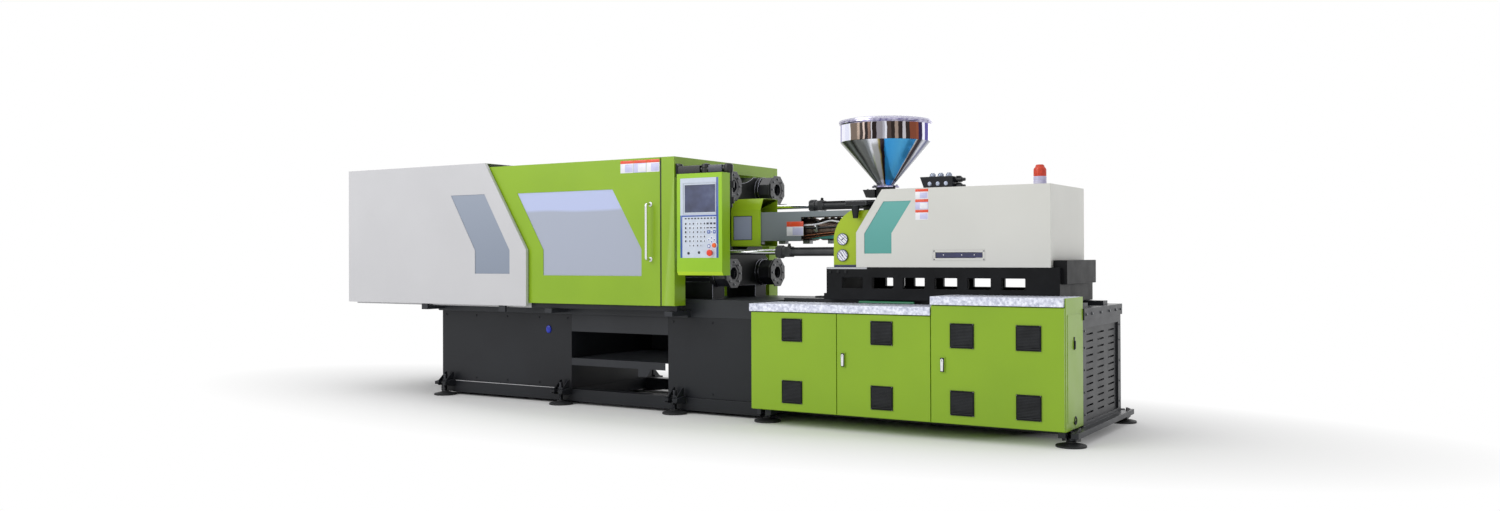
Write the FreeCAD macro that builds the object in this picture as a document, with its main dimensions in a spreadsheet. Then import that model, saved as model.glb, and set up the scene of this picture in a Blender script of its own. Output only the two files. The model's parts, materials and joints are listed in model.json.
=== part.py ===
"""Horizontal injection moulding machine with a toggle clamp, in millimetres.

X runs from the clamp end to the injection end, -Y is the operator's side, Z is up from the floor.
Stations along X are measured from the end sheet of the clamp cover, and the part's origin is moved
to origin_station.
"""
import FreeCAD, Part
import Sketcher
import math
import os
import re

# ---------------------------------------------------------------- driving sizes
SIZES = {
    # whole machine
    "origin_station": 2759.0,       # the part's origin, from the clamp end
    "axis_height": 1170.0,          # line of the clamp and the nozzle
    "running": 0.3,                 # gap between a flat moving face and its guide
    "overrun": 10.0,                # of a cutting shape past a face, or of a joined one into it
    "bore_fit": 0.06,               # radial gap of a shaft in its bore
    "fixing_hole": 8.0,             # radius of a tapped hole for mould clamps
    # bed
    "bed_start": 780.0,
    "bed_half": 463.0,              # half width over the skins
    "bed_end": 3555.0,
    "rail_bottom": 20.0,
    "rail_top": 100.0,
    "rail_width": 80.0,
    "rail_proud": 16.0,
    "skin": 4.0,
    "skin_top": 611.0,
    "upright": 60.0,
    "ledge_top": 655.0,
    "ledge_half": 500.0,
    "ledge_end": 2997.0,
    "bay_start": 2012.0,
    "bay_end": 2819.0,
    "drop_inset": 40.0,             # from the bay's ends to the hole in the ledge
    "drop_half": 215.0,
    "deck_top": 725.0,              # top of the bed under the fixed platen
    "deck_plate": 25.0,
    "way_inner": 235.0,
    "way_outer": 335.0,
    "way_height": 20.0,
    "outrigger_width": 60.0,
    "outrigger_height": 30.0,
    "tab_second": 1534.0,           # second tab under the clamp cover
    # product drop bay
    "shelf_top": 311.0,
    "shelf_lip": 49.0,
    "shelf_lip_short": 24.0,        # of the bay's end
    "shelf_tab_start": 2576.0,      # tab that hangs from the front lip
    "shelf_tab_end": 2680.0,
    "shelf_tab_drop": 50.0,
    "shelf_tab_slant": 29.0,
    "fascia_low": 492.0,
    # levelling feet
    "foot_span": 530.0,             # from the centre plane to a foot
    "foot_one": 875.0,
    "foot_two": 1973.0,
    "foot_three": 2916.0,
    "foot_four": 3600.0,
    "foot_five": 5438.0,
    "pad_radius": 80.0,
    "pad_edge": 12.0,
    "pad_crown": 24.0,
    "foot_screw": 14.0,
    "foot_screw_top": 150.0,
    "foot_short_top": 84.0,         # screws under the cabinets
    "bracket_half": 54.0,
    "bracket_plate": 15.0,
    "bracket_top": 115.0,
    "bracket_reach": 52.0,          # past the foot's centre
    "cheek_root": 51.0,             # height of a foot bracket's cheek at the bed
    "cheek_tip": 36.0,
    "beam_thick": 30.0,             # cross beams over the last feet
    "beam_drop": 10.0,              # from the cabinets' bottom to a cross beam
    # tank
    "tank_start": 3560.0,
    "tank_end": 5445.0,
    "tank_front": 326.0,
    "tank_bottom": 30.0,
    "tank_top": 712.0,
    "tank_cap": 62.0,
    "tank_cap_proud": 8.0,
    "louvre_low": 100.0,
    "louvre_high": 607.0,
    "louvre_sink": 12.0,
    "louvre_margin": 60.0,
    "ledge_taper": 30.0,
    "slot_rows": 12.0,
    "slot_columns": 3.0,
    "slot_length": 130.0,
    "slot_height": 9.0,
    "slide_rail_inset": 20.0,
    # cabinets
    "cabinet_front": 660.0,
    "cabinet_bottom": 88.0,
    "cabinet_start": 3565.0,
    "cabinet_split": 4711.0,
    "cabinet_end": 5445.0,
    "cabinet_low_top": 673.0,
    "cabinet_high_top": 732.0,
    "cabinet_wall": 5.0,
    "door_split": 4137.0,
    "door_thick": 20.0,
    "door_gap": 5.0,
    "vent_size": 134.0,
    "vent_upper": 567.0,
    "vent_lower": 205.0,
    "vent_proud": 4.0,
    "vent_slots": 6.0,
    "vent_slot": 8.0,
    "vent_depth": 9.0,
    "vent_one": 3846.0,
    "vent_two": 4420.0,
    "vent_three": 4892.0,
    "vent_four": 5257.0,
    "lock_middle": 4181.0,
    "lock_wide": 4782.0,
    "lock_height": 408.0,
    "lock_width": 28.0,
    "lock_tall": 84.0,
    "lock_proud": 8.0,
    "tread_rise": 45.0,
    "tread_sheet": 4.0,
    "tread_overhang": 8.0,
    # clamp platens
    "platen_half": 355.0,
    "platen_thick": 200.0,
    "platen_chamfer": 60.0,
    "rear_platen_face": 1200.0,
    "moving_face": 2000.0,          # mould face with the clamp open
    "fixed_face": 2850.0,           # mould face of the fixed platen
    "fixed_thick": 230.0,
    "fixed_wider": 10.0,            # than the moving platen, each way
    "fixed_foot_wider": 40.0,
    "side_scallop_depth": 105.0,    # hollows in the fixed platen's outline
    "side_scallop_half": 190.0,
    "top_scallop_depth": 48.0,
    "top_scallop_half": 180.0,
    "tie_offset": 280.0,            # tie bars from the axis, both ways
    "tie_radius": 40.0,
    "boss_radius": 90.0,
    "boss_end": 3105.0,
    "nut_radius": 80.0,
    "nut_length": 85.0,
    "rear_nut_length": 136.0,
    "lock_plate": 20.0,
    "lock_radius": 92.0,
    "fixing_spacing": 350.0,
    "fixing_depth": 45.0,
    "ring_radius": 62.5,            # seat of the mould's locating ring
    "ring_depth": 20.0,
    "nozzle_bore": 50.0,
    "nozzle_cone": 150.0,
    # toggle
    "pivot_station": 1461.0,
    "pivot_rise": 335.0,
    "rear_link": 270.0,
    "front_link": 330.0,
    "open_angle": 88.0,             # rear link below the horizontal, clamp open
    "third_radius": 160.0,
    "third_angle": 25.0,
    "short_link": 150.0,
    "crosshead_rise": 100.0,
    "eye_radius": 50.0,
    "small_eye": 35.0,
    "ear_root": 90.0,               # of a platen's ear below its pin
    "ear_shoulder": 15.0,           # and above it
    "rear_waist": 40.0,
    "lobe_waist": 33.25,
    "front_waist": 37.5,
    "short_waist": 24.5,
    "pin_radius": 28.0,
    "small_pin": 17.0,
    "front_half": 55.0,             # half thickness of a front link
    "plate_inner": 60.0,            # rear link plates, from the centre plane
    "plate_outer": 100.0,
    "short_half": 38.0,
    "ear_inner": 102.0,
    "ear_outer": 142.0,
    "link_play": 0.5,               # between a front link and the platen's ears
    "short_play": 2.0,              # between a short link and the crosshead's ears
    "pin_head": 12.0,
    "pin_head_wider": 8.0,
    # clamp cylinder and crosshead
    "cylinder_start": 480.0,
    "cylinder_radius": 95.0,
    "cylinder_head": 115.0,
    "cylinder_flange": 130.0,
    "piston_rod": 30.0,
    "piston_inset": 120.0,          # from the cylinder's end to the piston rod's
    "ram_bore_inset": 80.0,
    "ram_head_length": 60.0,
    "ram_flange_length": 40.0,
    "crosshead_half": 40.0,
    "crosshead_width": 190.0,
    "crosshead_height": 45.0,
    "crosshead_web": 15.0,          # half height between the short links
    "rod_flange": 55.0,
    "rod_flange_thick": 14.0,
    "guide_offset": 150.0,
    "guide_radius": 25.0,
    "guide_end": 1650.0,
    "ejector_radius": 48.0,
    "ejector_length": 150.0,
    "ejector_rod": 18.0,
    "ejector_floor": 15.0,
    "ejector_back": 20.0,           # from the cylinder's end to the rod's
    "ejector_sunk": 5.0,            # rod's tip behind the mould face
    # guards of the clamp
    "guard_sheet": 4.0,
    "cover_half": 673.0,            # outer faces of the clamp cover
    "cover_depth": 25.0,
    "cover_long": 1789.0,
    "cover_short": 1409.0,
    "cover_bottom": 667.0,
    "cover_top": 1654.0,
    "cover_knee": 1049.0,
    "gate_half": 643.0,
    "gate_depth": 25.0,
    "gate_start": 1380.0,
    "gate_end": 2887.0,
    "gate_bottom": 688.0,
    "gate_top": 1627.0,
    "rail_thick": 40.0,
    "rail_tall": 32.0,
    "rail_drop": 12.0,              # from the gate's top edge to its top rail
    "rail_start": 30.0,
    "strut": 60.0,
    "strut_inset": 120.0,
    "strut_depth": 24.0,
    "strut_lap": 4.0,
    "hook_inset": 60.0,
    "hook_length": 100.0,
    "hook_depth": 32.0,
    "pane_lap": 15.0,
    "pane_thick": 5.0,
    "window_slope": 0.6,            # run over rise of the slanted window edges
    "cover_window_inset": 709.0,    # from the cover's long end back to the window's top corner
    "cover_window_width": 325.0,
    "cover_window_top": 1437.0,
    "cover_window_bottom": 885.0,
    "window_knee": 1047.0,
    "gate_window_start": 1685.0,
    "gate_window_width": 822.0,
    "gate_window_top": 1435.0,
    "gate_window_bottom": 876.0,
    "post_start": 2897.0,
    "post_end": 2997.0,
    "post_depth": 120.0,
    "beam_height": 75.0,
    "handle_station": 2812.0,
    "handle_bottom": 982.0,
    "handle_top": 1331.0,
    "handle_reach": 47.0,
    "handle_radius": 9.0,
    "handle_bend": 24.0,
    # control panel
    "panel_front": 723.0,
    "panel_depth": 90.0,
    "panel_start": 3072.0,
    "panel_end": 3403.0,
    "panel_bottom": 884.0,
    "panel_top": 1507.0,
    "panel_edge": 14.0,
    "panel_edge_rise": 22.4,
    "plate_margin": 26.0,
    "plate_low": 991.0,
    "plate_high": 1478.0,
    "plate_sink": 3.0,
    "screen_start": 3131.0,
    "screen_end": 3354.0,
    "screen_low": 1268.0,
    "screen_high": 1436.0,
    "screen_thick": 2.0,
    "pane_gap": 0.2,                # round a screen or pane let into a sheet
    "start_station": 3349.0,
    "start_height": 1066.0,
    "start_radius": 14.0,
    "stop_station": 3322.0,
    "stop_height": 1021.0,
    "stop_radius": 20.0,
    "start_rise": 12.0,             # cap's face before the panel's
    "start_cap": 8.0,
    "stop_rise": 22.0,
    "stop_cap": 16.0,
    "stop_neck": 16.0,              # mushroom's radius next to the panel
    "button_stem": 8.0,
    "stem_depth": 26.0,             # stem's end behind the panel's face
    "socket_depth": 48.0,
    "arm_station": 3370.0,
    "arm_depth": 596.0,
    "arm_height": 1540.0,
    "arm_radius": 24.0,
    "arm_bend": 50.0,
    "arm_bottom": 1300.0,
    "knuckle_wall": 12.0,
    "knuckle_height": 40.0,
    "knuckle_first": 88.0,           # knuckles' undersides below the panel's top
    "knuckle_second": 184.0,
    # nozzle guard
    "hood_end": 3306.0,
    "hood_half": 110.0,
    "hood_bottom": 1064.0,
    "hood_top": 1376.0,
    "hood_bevel": 71.0,             # its rise
    "hood_bevel_run": 35.0,
    "hood_sheet": 3.0,
    "hood_rim": 20.0,
    "hood_door_start": 3084.0,
    "hood_door_end": 3300.0,
    "hood_door_thick": 5.0,
    "hood_pane_recess": 1.5,
    "hood_window_start": 3100.0,
    "hood_window_end": 3244.0,
    "hood_window_low": 1105.0,
    "hood_window_high": 1263.0,
    # carriage
    "carriage_offset": 225.0,       # front cylinder from the centre plane
    "carriage_far_offset": 215.0,   # rear cylinder from the centre plane
    "carriage_low": 143.0,          # front cylinder below the axis
    "carriage_high": 162.0,         # rear cylinder above the axis
    "carriage_rod": 12.0,
    "carriage_rod_end": 3690.0,
    "gland_start": 3500.0,
    "gland_length": 110.0,
    "gland_radius": 41.0,
    "gland_ring": 44.0,
    "gland_neck": 33.0,
    "carriage_body": 26.0,
    "carriage_end": 4055.0,
    "carriage_bore_end": 3940.0,
    "foot_length": 75.0,            # of a carriage cylinder's foot
    "carriage_foot_half": 21.0,
    "slide_rail_inner": 160.0,
    "slide_rail_outer": 250.0,
    "slide_rail_height": 26.0,
    # injection unit
    "base_start": 3897.0,
    "base_end": 5321.0,
    "base_half": 323.0,
    "base_top": 932.0,
    "base_wall": 30.0,
    "base_foot": 37.0,
    "base_foot_proud": 18.0,
    "base_plate": 30.0,
    "base_window_start": 4003.0,
    "base_window_pitch": 198.0,
    "base_window_length": 135.0,
    "base_window_low": 806.0,
    "base_window_high": 870.0,
    "base_window_count": 6.0,
    "end_block_start": 5276.0,
    "end_block_end": 5350.0,
    "end_block_top": 972.0,
    "end_block_low": 840.0,
    "end_block_half": 288.0,
    "hood_low_start": 4097.0,       # injection cover, lower edge
    "hood_top_start": 4266.0,       # injection cover, top edge
    "hood_right": 5272.0,
    "hood_knee": 1139.0,
    "hood_roof": 1392.0,
    "hood_wall": 4.0,
    "hood_open": 60.0,              # run of the hollow past the open sides
    "pane_start": 4277.0,           # side windows of the injection cover
    "pane_width": 176.0,
    "pane_drop": 72.0,              # from the roof to the panes' top
    "pane_low": 1013.0,
    "pane_knee": 1132.0,
    "slot_start": 4602.0,
    "slot_end": 4885.0,
    "slot_low": 985.0,
    "slot_high": 1018.0,
    # nose cap
    "cap_start": 3936.0,
    "cap_half": 300.0,
    "cap_shoulder": 1110.0,         # where its upright front starts to curve back
    "cap_bulge": 3988.0,
    "cap_bulge_height": 1225.0,
    "cap_corner": 4055.0,
    "cap_top": 1273.0,
    "cap_sheet": 4.0,
    "cap_gap": 2.0,
    "cap_open": 30.0,
    "shield_room": 12.0,            # round the barrel guard
    "way_room": 5.0,                # round the front carriage cylinder
    "notch_room": 8.0,              # round the rear one's foot
    "gauge_station": 3999.0,
    "gauge_radius": 37.0,
    "gauge_thick": 12.0,
    "gauge_upper": 1100.0,
    "gauge_lower": 1003.0,
    # barrel
    "nozzle_tip": 2960.0,
    "nozzle_radius": 24.0,
    "nozzle_taper": 33.0,
    "nozzle_tip_radius": 12.0,
    "barrel_start": 3130.0,
    "barrel_radius": 58.0,
    "heater_radius": 70.0,
    "heater_start": 3160.0,
    "heater_length": 150.0,
    "heater_gap": 30.0,
    "heater_count": 4.0,
    "shield_start": 3300.0,
    "shield_front_end": 3600.0,
    "shield_half": 100.0,
    "shield_low": 72.0,             # below the axis
    "shield_high": 114.0,           # above the axis
    "shield_sheet": 3.0,
    "shield_edge": 36.0,            # depth of the side wall over the open stretch
    "shield_tail": 80.0,            # full side wall at the feed block
    # feed block and hopper
    "hopper_station": 4143.0,
    "feed_half": 100.0,
    "feed_width": 110.0,
    "feed_top": 1300.0,
    "bracket_thick": 25.0,
    "bracket_front": 357.0,
    "bracket_span": 75.0,
    "throat_radius": 60.0,
    "throat_bore": 38.0,
    "cup_top_radius": 26.0,
    "cup_bottom_radius": 15.0,
    "cup_height": 76.0,
    "cup_offset": 45.0,
    "cup_inset": 1.0,
    "hopper_bottom": 1419.0,
    "hopper_neck": 48.0,
    "hopper_flange": 85.0,
    "hopper_flange_thick": 12.0,
    "hopper_cone_top": 1700.0,
    "hopper_rim": 1829.0,
    "hopper_radius": 278.0,
    "hopper_sheet": 3.0,
    "hopper_bead": 6.0,
    "lid_thick": 8.0,
    "lid_lip": 10.0,
    "lid_crown": 261.3,             # radius of the lid's flat top
    # top of the injection cover
    "beacon_station": 5112.0,
    "beacon_radius": 37.0,
    "beacon_base": 61.0,
    "beacon_lens": 68.0,
    "lens_radius": 34.8,
    "lens_shoulder": 47.6,
    "lens_top": 22.2,
    "valve_start": 4420.0,
    "valve_end": 4600.0,
    "valve_slant": 30.0,            # overhang of the slanted end
    "valve_half": 48.0,
    "valve_block": 82.0,
    "plug_count": 3.0,
    "plug_first": 35.0,
    "plug_pitch": 52.0,
    "plug_radius": 20.0,
    "plug_tall": 24.0,
    "solenoid_low": 22.0,
    "solenoid_high": 62.0,
    "solenoid_radius": 16.0,
    "solenoid_length": 62.0,
}

doc = FreeCAD.newDocument("moulding_machine")
sheet = doc.addObject("Spreadsheet::Sheet", "sizes")
for line, (alias, number) in enumerate(SIZES.items(), start=1):
    sheet.set(f"A{line}", str(number))
    sheet.setAlias(f"A{line}", alias)
doc.recompute()

nodes = {}


# ---------------------------------------------------------------- helpers
def bound(text):
    """The expression with every size name pointing at the sheet."""
    return re.sub(
        r"[a-z][a-z0-9_]*",
        lambda word: "sizes." + word.group() if word.group() in SIZES else word.group(),
        text,
    )


def value(text):
    """The number that an expression in sheet names gives."""
    return float(sheet.evalExpression(bound(f"0 + {text}")))


def bind(thing, **sizes):
    for name, text in sizes.items():
        thing.setExpression(name.replace("__", "."), bound(text))


def place(thing, x="origin_station", y="0", z="0", axis=None, angle=0.0):
    """Puts a thing at a station, a distance across and a height."""
    if axis:
        turn = FreeCAD.Rotation(FreeCAD.Vector(*axis), angle)
        thing.Placement = FreeCAD.Placement(FreeCAD.Vector(), turn)
    bind(thing, Placement__Base__x=f"{x} - origin_station", Placement__Base__y=y, Placement__Base__z=z)
    return thing


def box(name, x, y, z):
    """A box from three pairs of expressions, low and high."""
    solid = doc.addObject("Part::Box", name)
    bind(solid, Length=f"({x[1]}) - ({x[0]})", Width=f"({y[1]}) - ({y[0]})", Height=f"({z[1]}) - ({z[0]})")
    return place(solid, f"({x[0]})", y[0], z[0])


def cylinder(name, along, x, y, z, radius, length, top=None):
    """A cylinder, or with a top radius a cone, from its start point along X, Y or Z."""
    turn = {"X": ((0, 1, 0), 90), "Y": ((1, 0, 0), -90), "Z": ((0, 0, 1), 0)}[along]
    if top is None:
        solid = doc.addObject("Part::Cylinder", name)
        bind(solid, Radius=radius, Height=length)
    else:
        solid = doc.addObject("Part::Cone", name)
        bind(solid, Radius1=radius, Radius2=top, Height=length)
    return place(solid, f"({x})", y, z, *turn)


def cut(name, base, *tools):
    """The base less the tools."""
    result = doc.addObject("Part::Cut", name)
    result.Base = base
    result.Tool = tools[0] if len(tools) == 1 else fuse(name + "_tools", *tools, refine=False)
    return result


def fuse(name, *parts, refine=True):
    result = doc.addObject("Part::MultiFuse", name)
    result.Shapes = list(parts)
    result.Refine = refine
    return result


def group(name, *parts):
    result = doc.addObject("Part::Compound", name)
    result.Links = list(parts)
    return result


def mirror(name, source, normal=(0, 1, 0), height=None):
    """The source mirrored in the centre plane, or in a plane at a height."""
    result = doc.addObject("Part::Mirroring", name)
    result.Source = source
    result.Normal = FreeCAD.Vector(*normal)
    if height:
        bind(result, Base__z=height)
    return result


def both(name, source):
    """The source and its mirror image across the centre plane, as two solids."""
    return group(name, source, mirror(name + "_far", source))


def node(name, thing):
    """Names a finished sub-part; its label is its file's name."""
    thing.Label = name
    nodes[name] = thing
    return thing


def pin_point(sketch, piece, end, across, up):
    """Holds a point of a sketch at two expressions."""
    for kind, text in (("DistanceX", across), ("DistanceY", up)):
        made = sketch.addConstraint(Sketcher.Constraint(kind, -1, 1, piece, end, value(text)))
        sketch.setExpression(f"Constraints[{made}]", bound(f"0 + {text}"))


def draw(sketch, points, arcs=()):
    """Closes a loop of corners bound to the sheet.

    arcs gives, for a corner's number, the point that the edge to the next corner bows through.
    """
    bows = dict(arcs)
    corners = [FreeCAD.Vector(value(a), value(b), 0) for a, b in points]
    count = len(points)
    first = sketch.GeometryCount
    ends = []
    for i, corner in enumerate(corners):
        after = corners[(i + 1) % count]
        if i not in bows:
            sketch.addGeometry(Part.LineSegment(corner, after), False)
            ends.append((1, 2))
            continue
        middle = FreeCAD.Vector(value(bows[i][0]), value(bows[i][1]), 0)
        if (middle - corner).cross(after - corner).z > 0:
            sketch.addGeometry(Part.Arc(corner, middle, after), False)
            ends.append((1, 2))
        else:
            sketch.addGeometry(Part.Arc(after, middle, corner), False)
            ends.append((2, 1))
    for i in range(count):
        j = (i + 1) % count
        sketch.addConstraint(
            Sketcher.Constraint("Coincident", first + i, ends[i][1], first + j, ends[j][0])
        )
    for i, (a, b) in enumerate(points):
        pin_point(sketch, first + i, ends[i][0], a, b)
    for i, (a, b) in bows.items():
        middle = FreeCAD.Vector(value(a), value(b), 0)
        point = sketch.addGeometry(Part.Point(middle), True)
        pin_point(sketch, point, 1, a, b)
        sketch.addConstraint(Sketcher.Constraint("PointOnObject", point, 1, first + i))


def plane_sketch(body, name, role, offset="0"):
    """An empty sketch on one of the body's own origin planes."""
    sketch = body.newObject("Sketcher::SketchObject", name)
    plane = [item for item in body.Origin.OriginFeatures if item.Role == role][0]
    sketch.AttachmentSupport = (plane, [""])
    sketch.MapMode = "FlatFace"
    sketch.setExpression("AttachmentOffset.Base.z", bound(f"0 + {offset}"))
    return sketch


def body_at(name, x="0", y="0", z="0"):
    body = doc.addObject("PartDesign::Body", name)
    return place(body, x, y, z)


def pad(body, name, role, points, length, offset="0", arcs=()):
    """A profile padded evenly to both sides of its sketch."""
    sketch = plane_sketch(body, name + "_sketch", role, offset)
    draw(sketch, points, arcs)
    feature = body.newObject("PartDesign::Pad", name)
    feature.Profile = sketch
    feature.Midplane = True
    bind(feature, Length=length)
    sketch.Visibility = False
    return feature


def pocket(body, name, role, loops, length, offset="0"):
    """Profiles cut evenly to both sides of their sketch."""
    sketch = plane_sketch(body, name + "_sketch", role, offset)
    for points in loops:
        draw(sketch, points)
    feature = body.newObject("PartDesign::Pocket", name)
    feature.Profile = sketch
    feature.Midplane = True
    bind(feature, Length=length)
    sketch.Visibility = False
    return feature


def prism(name, role, points, length, x="0", y="0", z="0", offset="0", arcs=()):
    """A body that is one padded profile."""
    body = body_at(name, x, y, z)
    pad(body, name + "_pad", role, points, length, offset, arcs)
    return body


def revolved(name, points, x, y, z, arcs=()):
    """A body turned from a half section of radius and height about its upright axis."""
    body = body_at(name, x, y, z)
    sketch = plane_sketch(body, name + "_section", "XZ_Plane")
    draw(sketch, points, arcs)
    feature = body.newObject("PartDesign::Revolution", name + "_turn")
    feature.Profile = sketch
    feature.ReferenceAxis = (sketch, ["V_Axis"])
    feature.Angle = 360.0
    sketch.Visibility = False
    return body


def tube(body, name, role, route, ring_role, ring_offset, ring_centre, radius):
    """A round bar swept along straight runs that meet in mitres."""
    path = plane_sketch(body, name + "_path", role)
    corners = [FreeCAD.Vector(value(a), value(b), 0) for a, b in route]
    for start, end in zip(corners, corners[1:]):
        path.addGeometry(Part.LineSegment(start, end), False)
    for i in range(len(corners) - 2):
        path.addConstraint(Sketcher.Constraint("Coincident", i, 2, i + 1, 1))
    for i, (across, up) in enumerate(route[:-1]):
        pin_point(path, i, 1, across, up)
    pin_point(path, len(route) - 2, 2, *route[-1])
    ring = plane_sketch(body, name + "_ring", ring_role, ring_offset)
    middle = FreeCAD.Vector(value(ring_centre[0]), value(ring_centre[1]), 0)
    circle = ring.addGeometry(Part.Circle(middle, FreeCAD.Vector(0, 0, 1), value(radius)), False)
    pin_point(ring, circle, 3, *ring_centre)
    made = ring.addConstraint(Sketcher.Constraint("Radius", circle, value(radius)))
    ring.setExpression(f"Constraints[{made}]", bound(f"0 + {radius}"))
    pipe = body.newObject("PartDesign::AdditivePipe", name + "_pipe")
    pipe.Profile = ring
    pipe.Spine = path
    pipe.Transition = "Right corner"
    return body


def rectangle(x0, z0, x1, z1):
    return [(x0, z0), (x1, z0), (x1, z1), (x0, z1)]


# ---------------------------------------------------------------- bed
def foot_stations():
    return ["foot_one", "foot_two", "foot_three", "foot_four", "foot_five"]


def foot_bracket(name, station, root):
    """Top plate and two cheeks that carry a levelling screw beside the bed."""
    reach = "(foot_span + bracket_reach)"
    plate = box(
        name + "_plate",
        (f"{station} - bracket_half", f"{station} + bracket_half"),
        (f"0 - {reach}", f"0 - {root}"),
        ("bracket_top - 2 * bracket_plate", "bracket_top - bracket_plate"),
    )
    slot = box(
        name + "_slot",
        (f"{station} - foot_screw - running", f"{station} + foot_screw + running"),
        (f"0 - {reach} - overrun", "foot_screw - foot_span"),
        ("0", "2 * bracket_top"),
    )
    cheeks = []
    for tag, shift in (("a", "0 - bracket_half"), ("b", "bracket_half - bracket_plate")):
        cheeks.append(
            prism(
                f"{name}_{tag}",
                "YZ_Plane",
                [
                    (f"0 - {root}", "bracket_top"),
                    (f"0 - {root}", "bracket_top - cheek_root"),
                    (f"0 - {reach}", "bracket_top - cheek_tip"),
                    (f"0 - {reach}", "bracket_top - bracket_plate"),
                ],
                "bracket_plate",
                x=f"({station} + {shift} + bracket_plate / 2)",
            )
        )
    return fuse(name, cut(name + "_slotted", plate, slot), *cheeks)


def bed():
    rail_outer = "bed_half + rail_proud"
    parts = [
        box("rail", ("bed_start", "bed_end"), (f"0 - ({rail_outer})", f"rail_width - ({rail_outer})"),
            ("rail_bottom", "rail_top"))
    ]
    inner = "bed_half - skin"
    sections = [("bed_start + skin", "bay_start - skin"), ("bay_end + skin", "bed_end - skin")]
    for number, (low, high) in enumerate(sections):
        for side, (x0, x1) in enumerate(((low, f"{low} + upright"), (f"{high} - upright", high))):
            parts.append(
                box(f"upright_{number}{side}", (x0, x1), (f"0 - ({inner})", f"upright - ({inner})"),
                    ("rail_bottom", "skin_top"))
            )
            parts.append(
                box(f"cross_{number}{side}", (x0, x1), (f"0 - ({inner})", "0"), ("rail_bottom", "rail_top"))
            )
    ledge = box("ledge", ("bed_start", "ledge_end"), ("0 - ledge_half", "0"), ("skin_top", "ledge_top"))
    drop = box("drop", ("bay_start + drop_inset", "bay_end - drop_inset"), ("0 - drop_half", "drop_half"),
               ("skin_top - overrun", "ledge_top + overrun"))
    parts.append(cut("ledge_open", ledge, drop))
    parts.append(
        prism(
            "ledge_end", "XZ_Plane",
            [
                ("bed_start - ledge_taper", "ledge_top"),
                ("bed_start", "ledge_top"),
                ("bed_start", "skin_top"),
            ],
            "ledge_half", y="0 - ledge_half / 2",
        )
    )
    deck = box("deck", ("bay_end", "bed_end"), ("0 - bed_half", "0"), ("skin_top", "deck_top"))
    deck_room = box("deck_room", ("bay_end + upright", "bed_end - upright"),
                    ("upright - bed_half", "overrun"), ("skin_top - overrun", "deck_top - deck_plate"))
    parts.append(cut("deck_open", deck, deck_room))
    parts.append(box("way", ("rear_platen_face - platen_thick - upright", "bay_end"),
                     ("0 - way_outer", "0 - way_inner"), ("skin_top", "ledge_top + way_height")))
    for number, station in enumerate(("bed_start", "bay_start - upright", "ledge_end - upright")):
        arm = box(f"outrigger_{number}", (station, f"{station} + outrigger_width"),
                  ("0 - (cover_half - guard_sheet)", "0 - bed_half"),
                  ("ledge_top - outrigger_height", "ledge_top"))
        parts.append(arm)
    for number, station in enumerate(("bed_start", "tab_second")):
        parts.append(
            box(f"tab_{number}", (station, f"{station} + outrigger_width"),
                ("0 - (cover_half - guard_sheet)", "0 - (cover_half - cover_depth + guard_sheet)"),
                ("ledge_top - outrigger_height", "cover_bottom"))
        )
    for number, station in enumerate(foot_stations()[:3]):
        parts.append(foot_bracket(f"foot_bracket_{number}", station, f"({rail_outer})"))
    half = fuse("bed_near", *parts)
    return fuse("bed_whole", half, mirror("bed_far", half))


def skins():
    rings = []
    for number, (low, high) in enumerate((("bed_start", "bay_start"), ("bay_end", "bed_end"))):
        outer = box(f"skin_outer_{number}", (low, high), ("0 - bed_half", "bed_half"),
                    ("rail_top", "skin_top"))
        inner = box(f"skin_inner_{number}", (f"{low} + skin", f"{high} - skin"),
                    ("skin - bed_half", "bed_half - skin"), ("rail_top - overrun", "skin_top + overrun"))
        rings.append(cut(f"skin_{number}", outer, inner))
    return group("skin_rings", *rings)


def bay_tray():
    """The folded shelf across the bay, the fascia over its mouth and the sheet that closes its back."""
    front = ("0 - bed_half", "guard_sheet - bed_half")
    top = box("shelf_sheet", ("bay_start", "bay_end"), ("0 - bed_half", "bed_half"),
              ("shelf_top - guard_sheet", "shelf_top"))
    lip = box("shelf_lip", ("bay_start", "bay_end - shelf_lip_short"), front,
              ("shelf_top - shelf_lip", "shelf_top"))
    low = "shelf_top - shelf_lip"
    tab = prism(
        "shelf_tab", "XZ_Plane",
        [
            ("shelf_tab_start", f"{low} + overrun"),
            ("shelf_tab_end", f"{low} + overrun"),
            ("shelf_tab_end", low),
            ("shelf_tab_end - shelf_tab_slant", f"{low} - shelf_tab_drop"),
            ("shelf_tab_start", f"{low} - shelf_tab_drop"),
        ],
        "guard_sheet", y="guard_sheet / 2 - bed_half",
    )
    fascia = box("bay_fascia", ("bay_start", "bay_end"), front, ("fascia_low", "skin_top"))
    back = box("bay_back", ("bay_start", "bay_end"), ("bed_half - guard_sheet", "bed_half"),
               ("shelf_top - guard_sheet", "skin_top"))
    return group("tray", fuse("shelf", top, lip, mirror("shelf_lip_far", lip), tab, back), fascia)


def feet():
    """Ten levelling feet, each a round pad on its screw."""
    pads = []
    for number, station in enumerate(foot_stations()):
        top = "foot_short_top" if number > 2 else "foot_screw_top"
        foot = revolved(
            f"foot_{number}",
            [
                ("0", "0"),
                ("pad_radius", "0"),
                ("pad_radius", "pad_edge"),
                ("foot_screw", "pad_crown"),
                ("foot_screw", top),
                ("0", top),
            ],
            station, "0 - foot_span", "0",
        )
        pads.extend([foot, mirror(f"foot_far_{number}", foot)])
    return group("feet", *pads)


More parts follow.
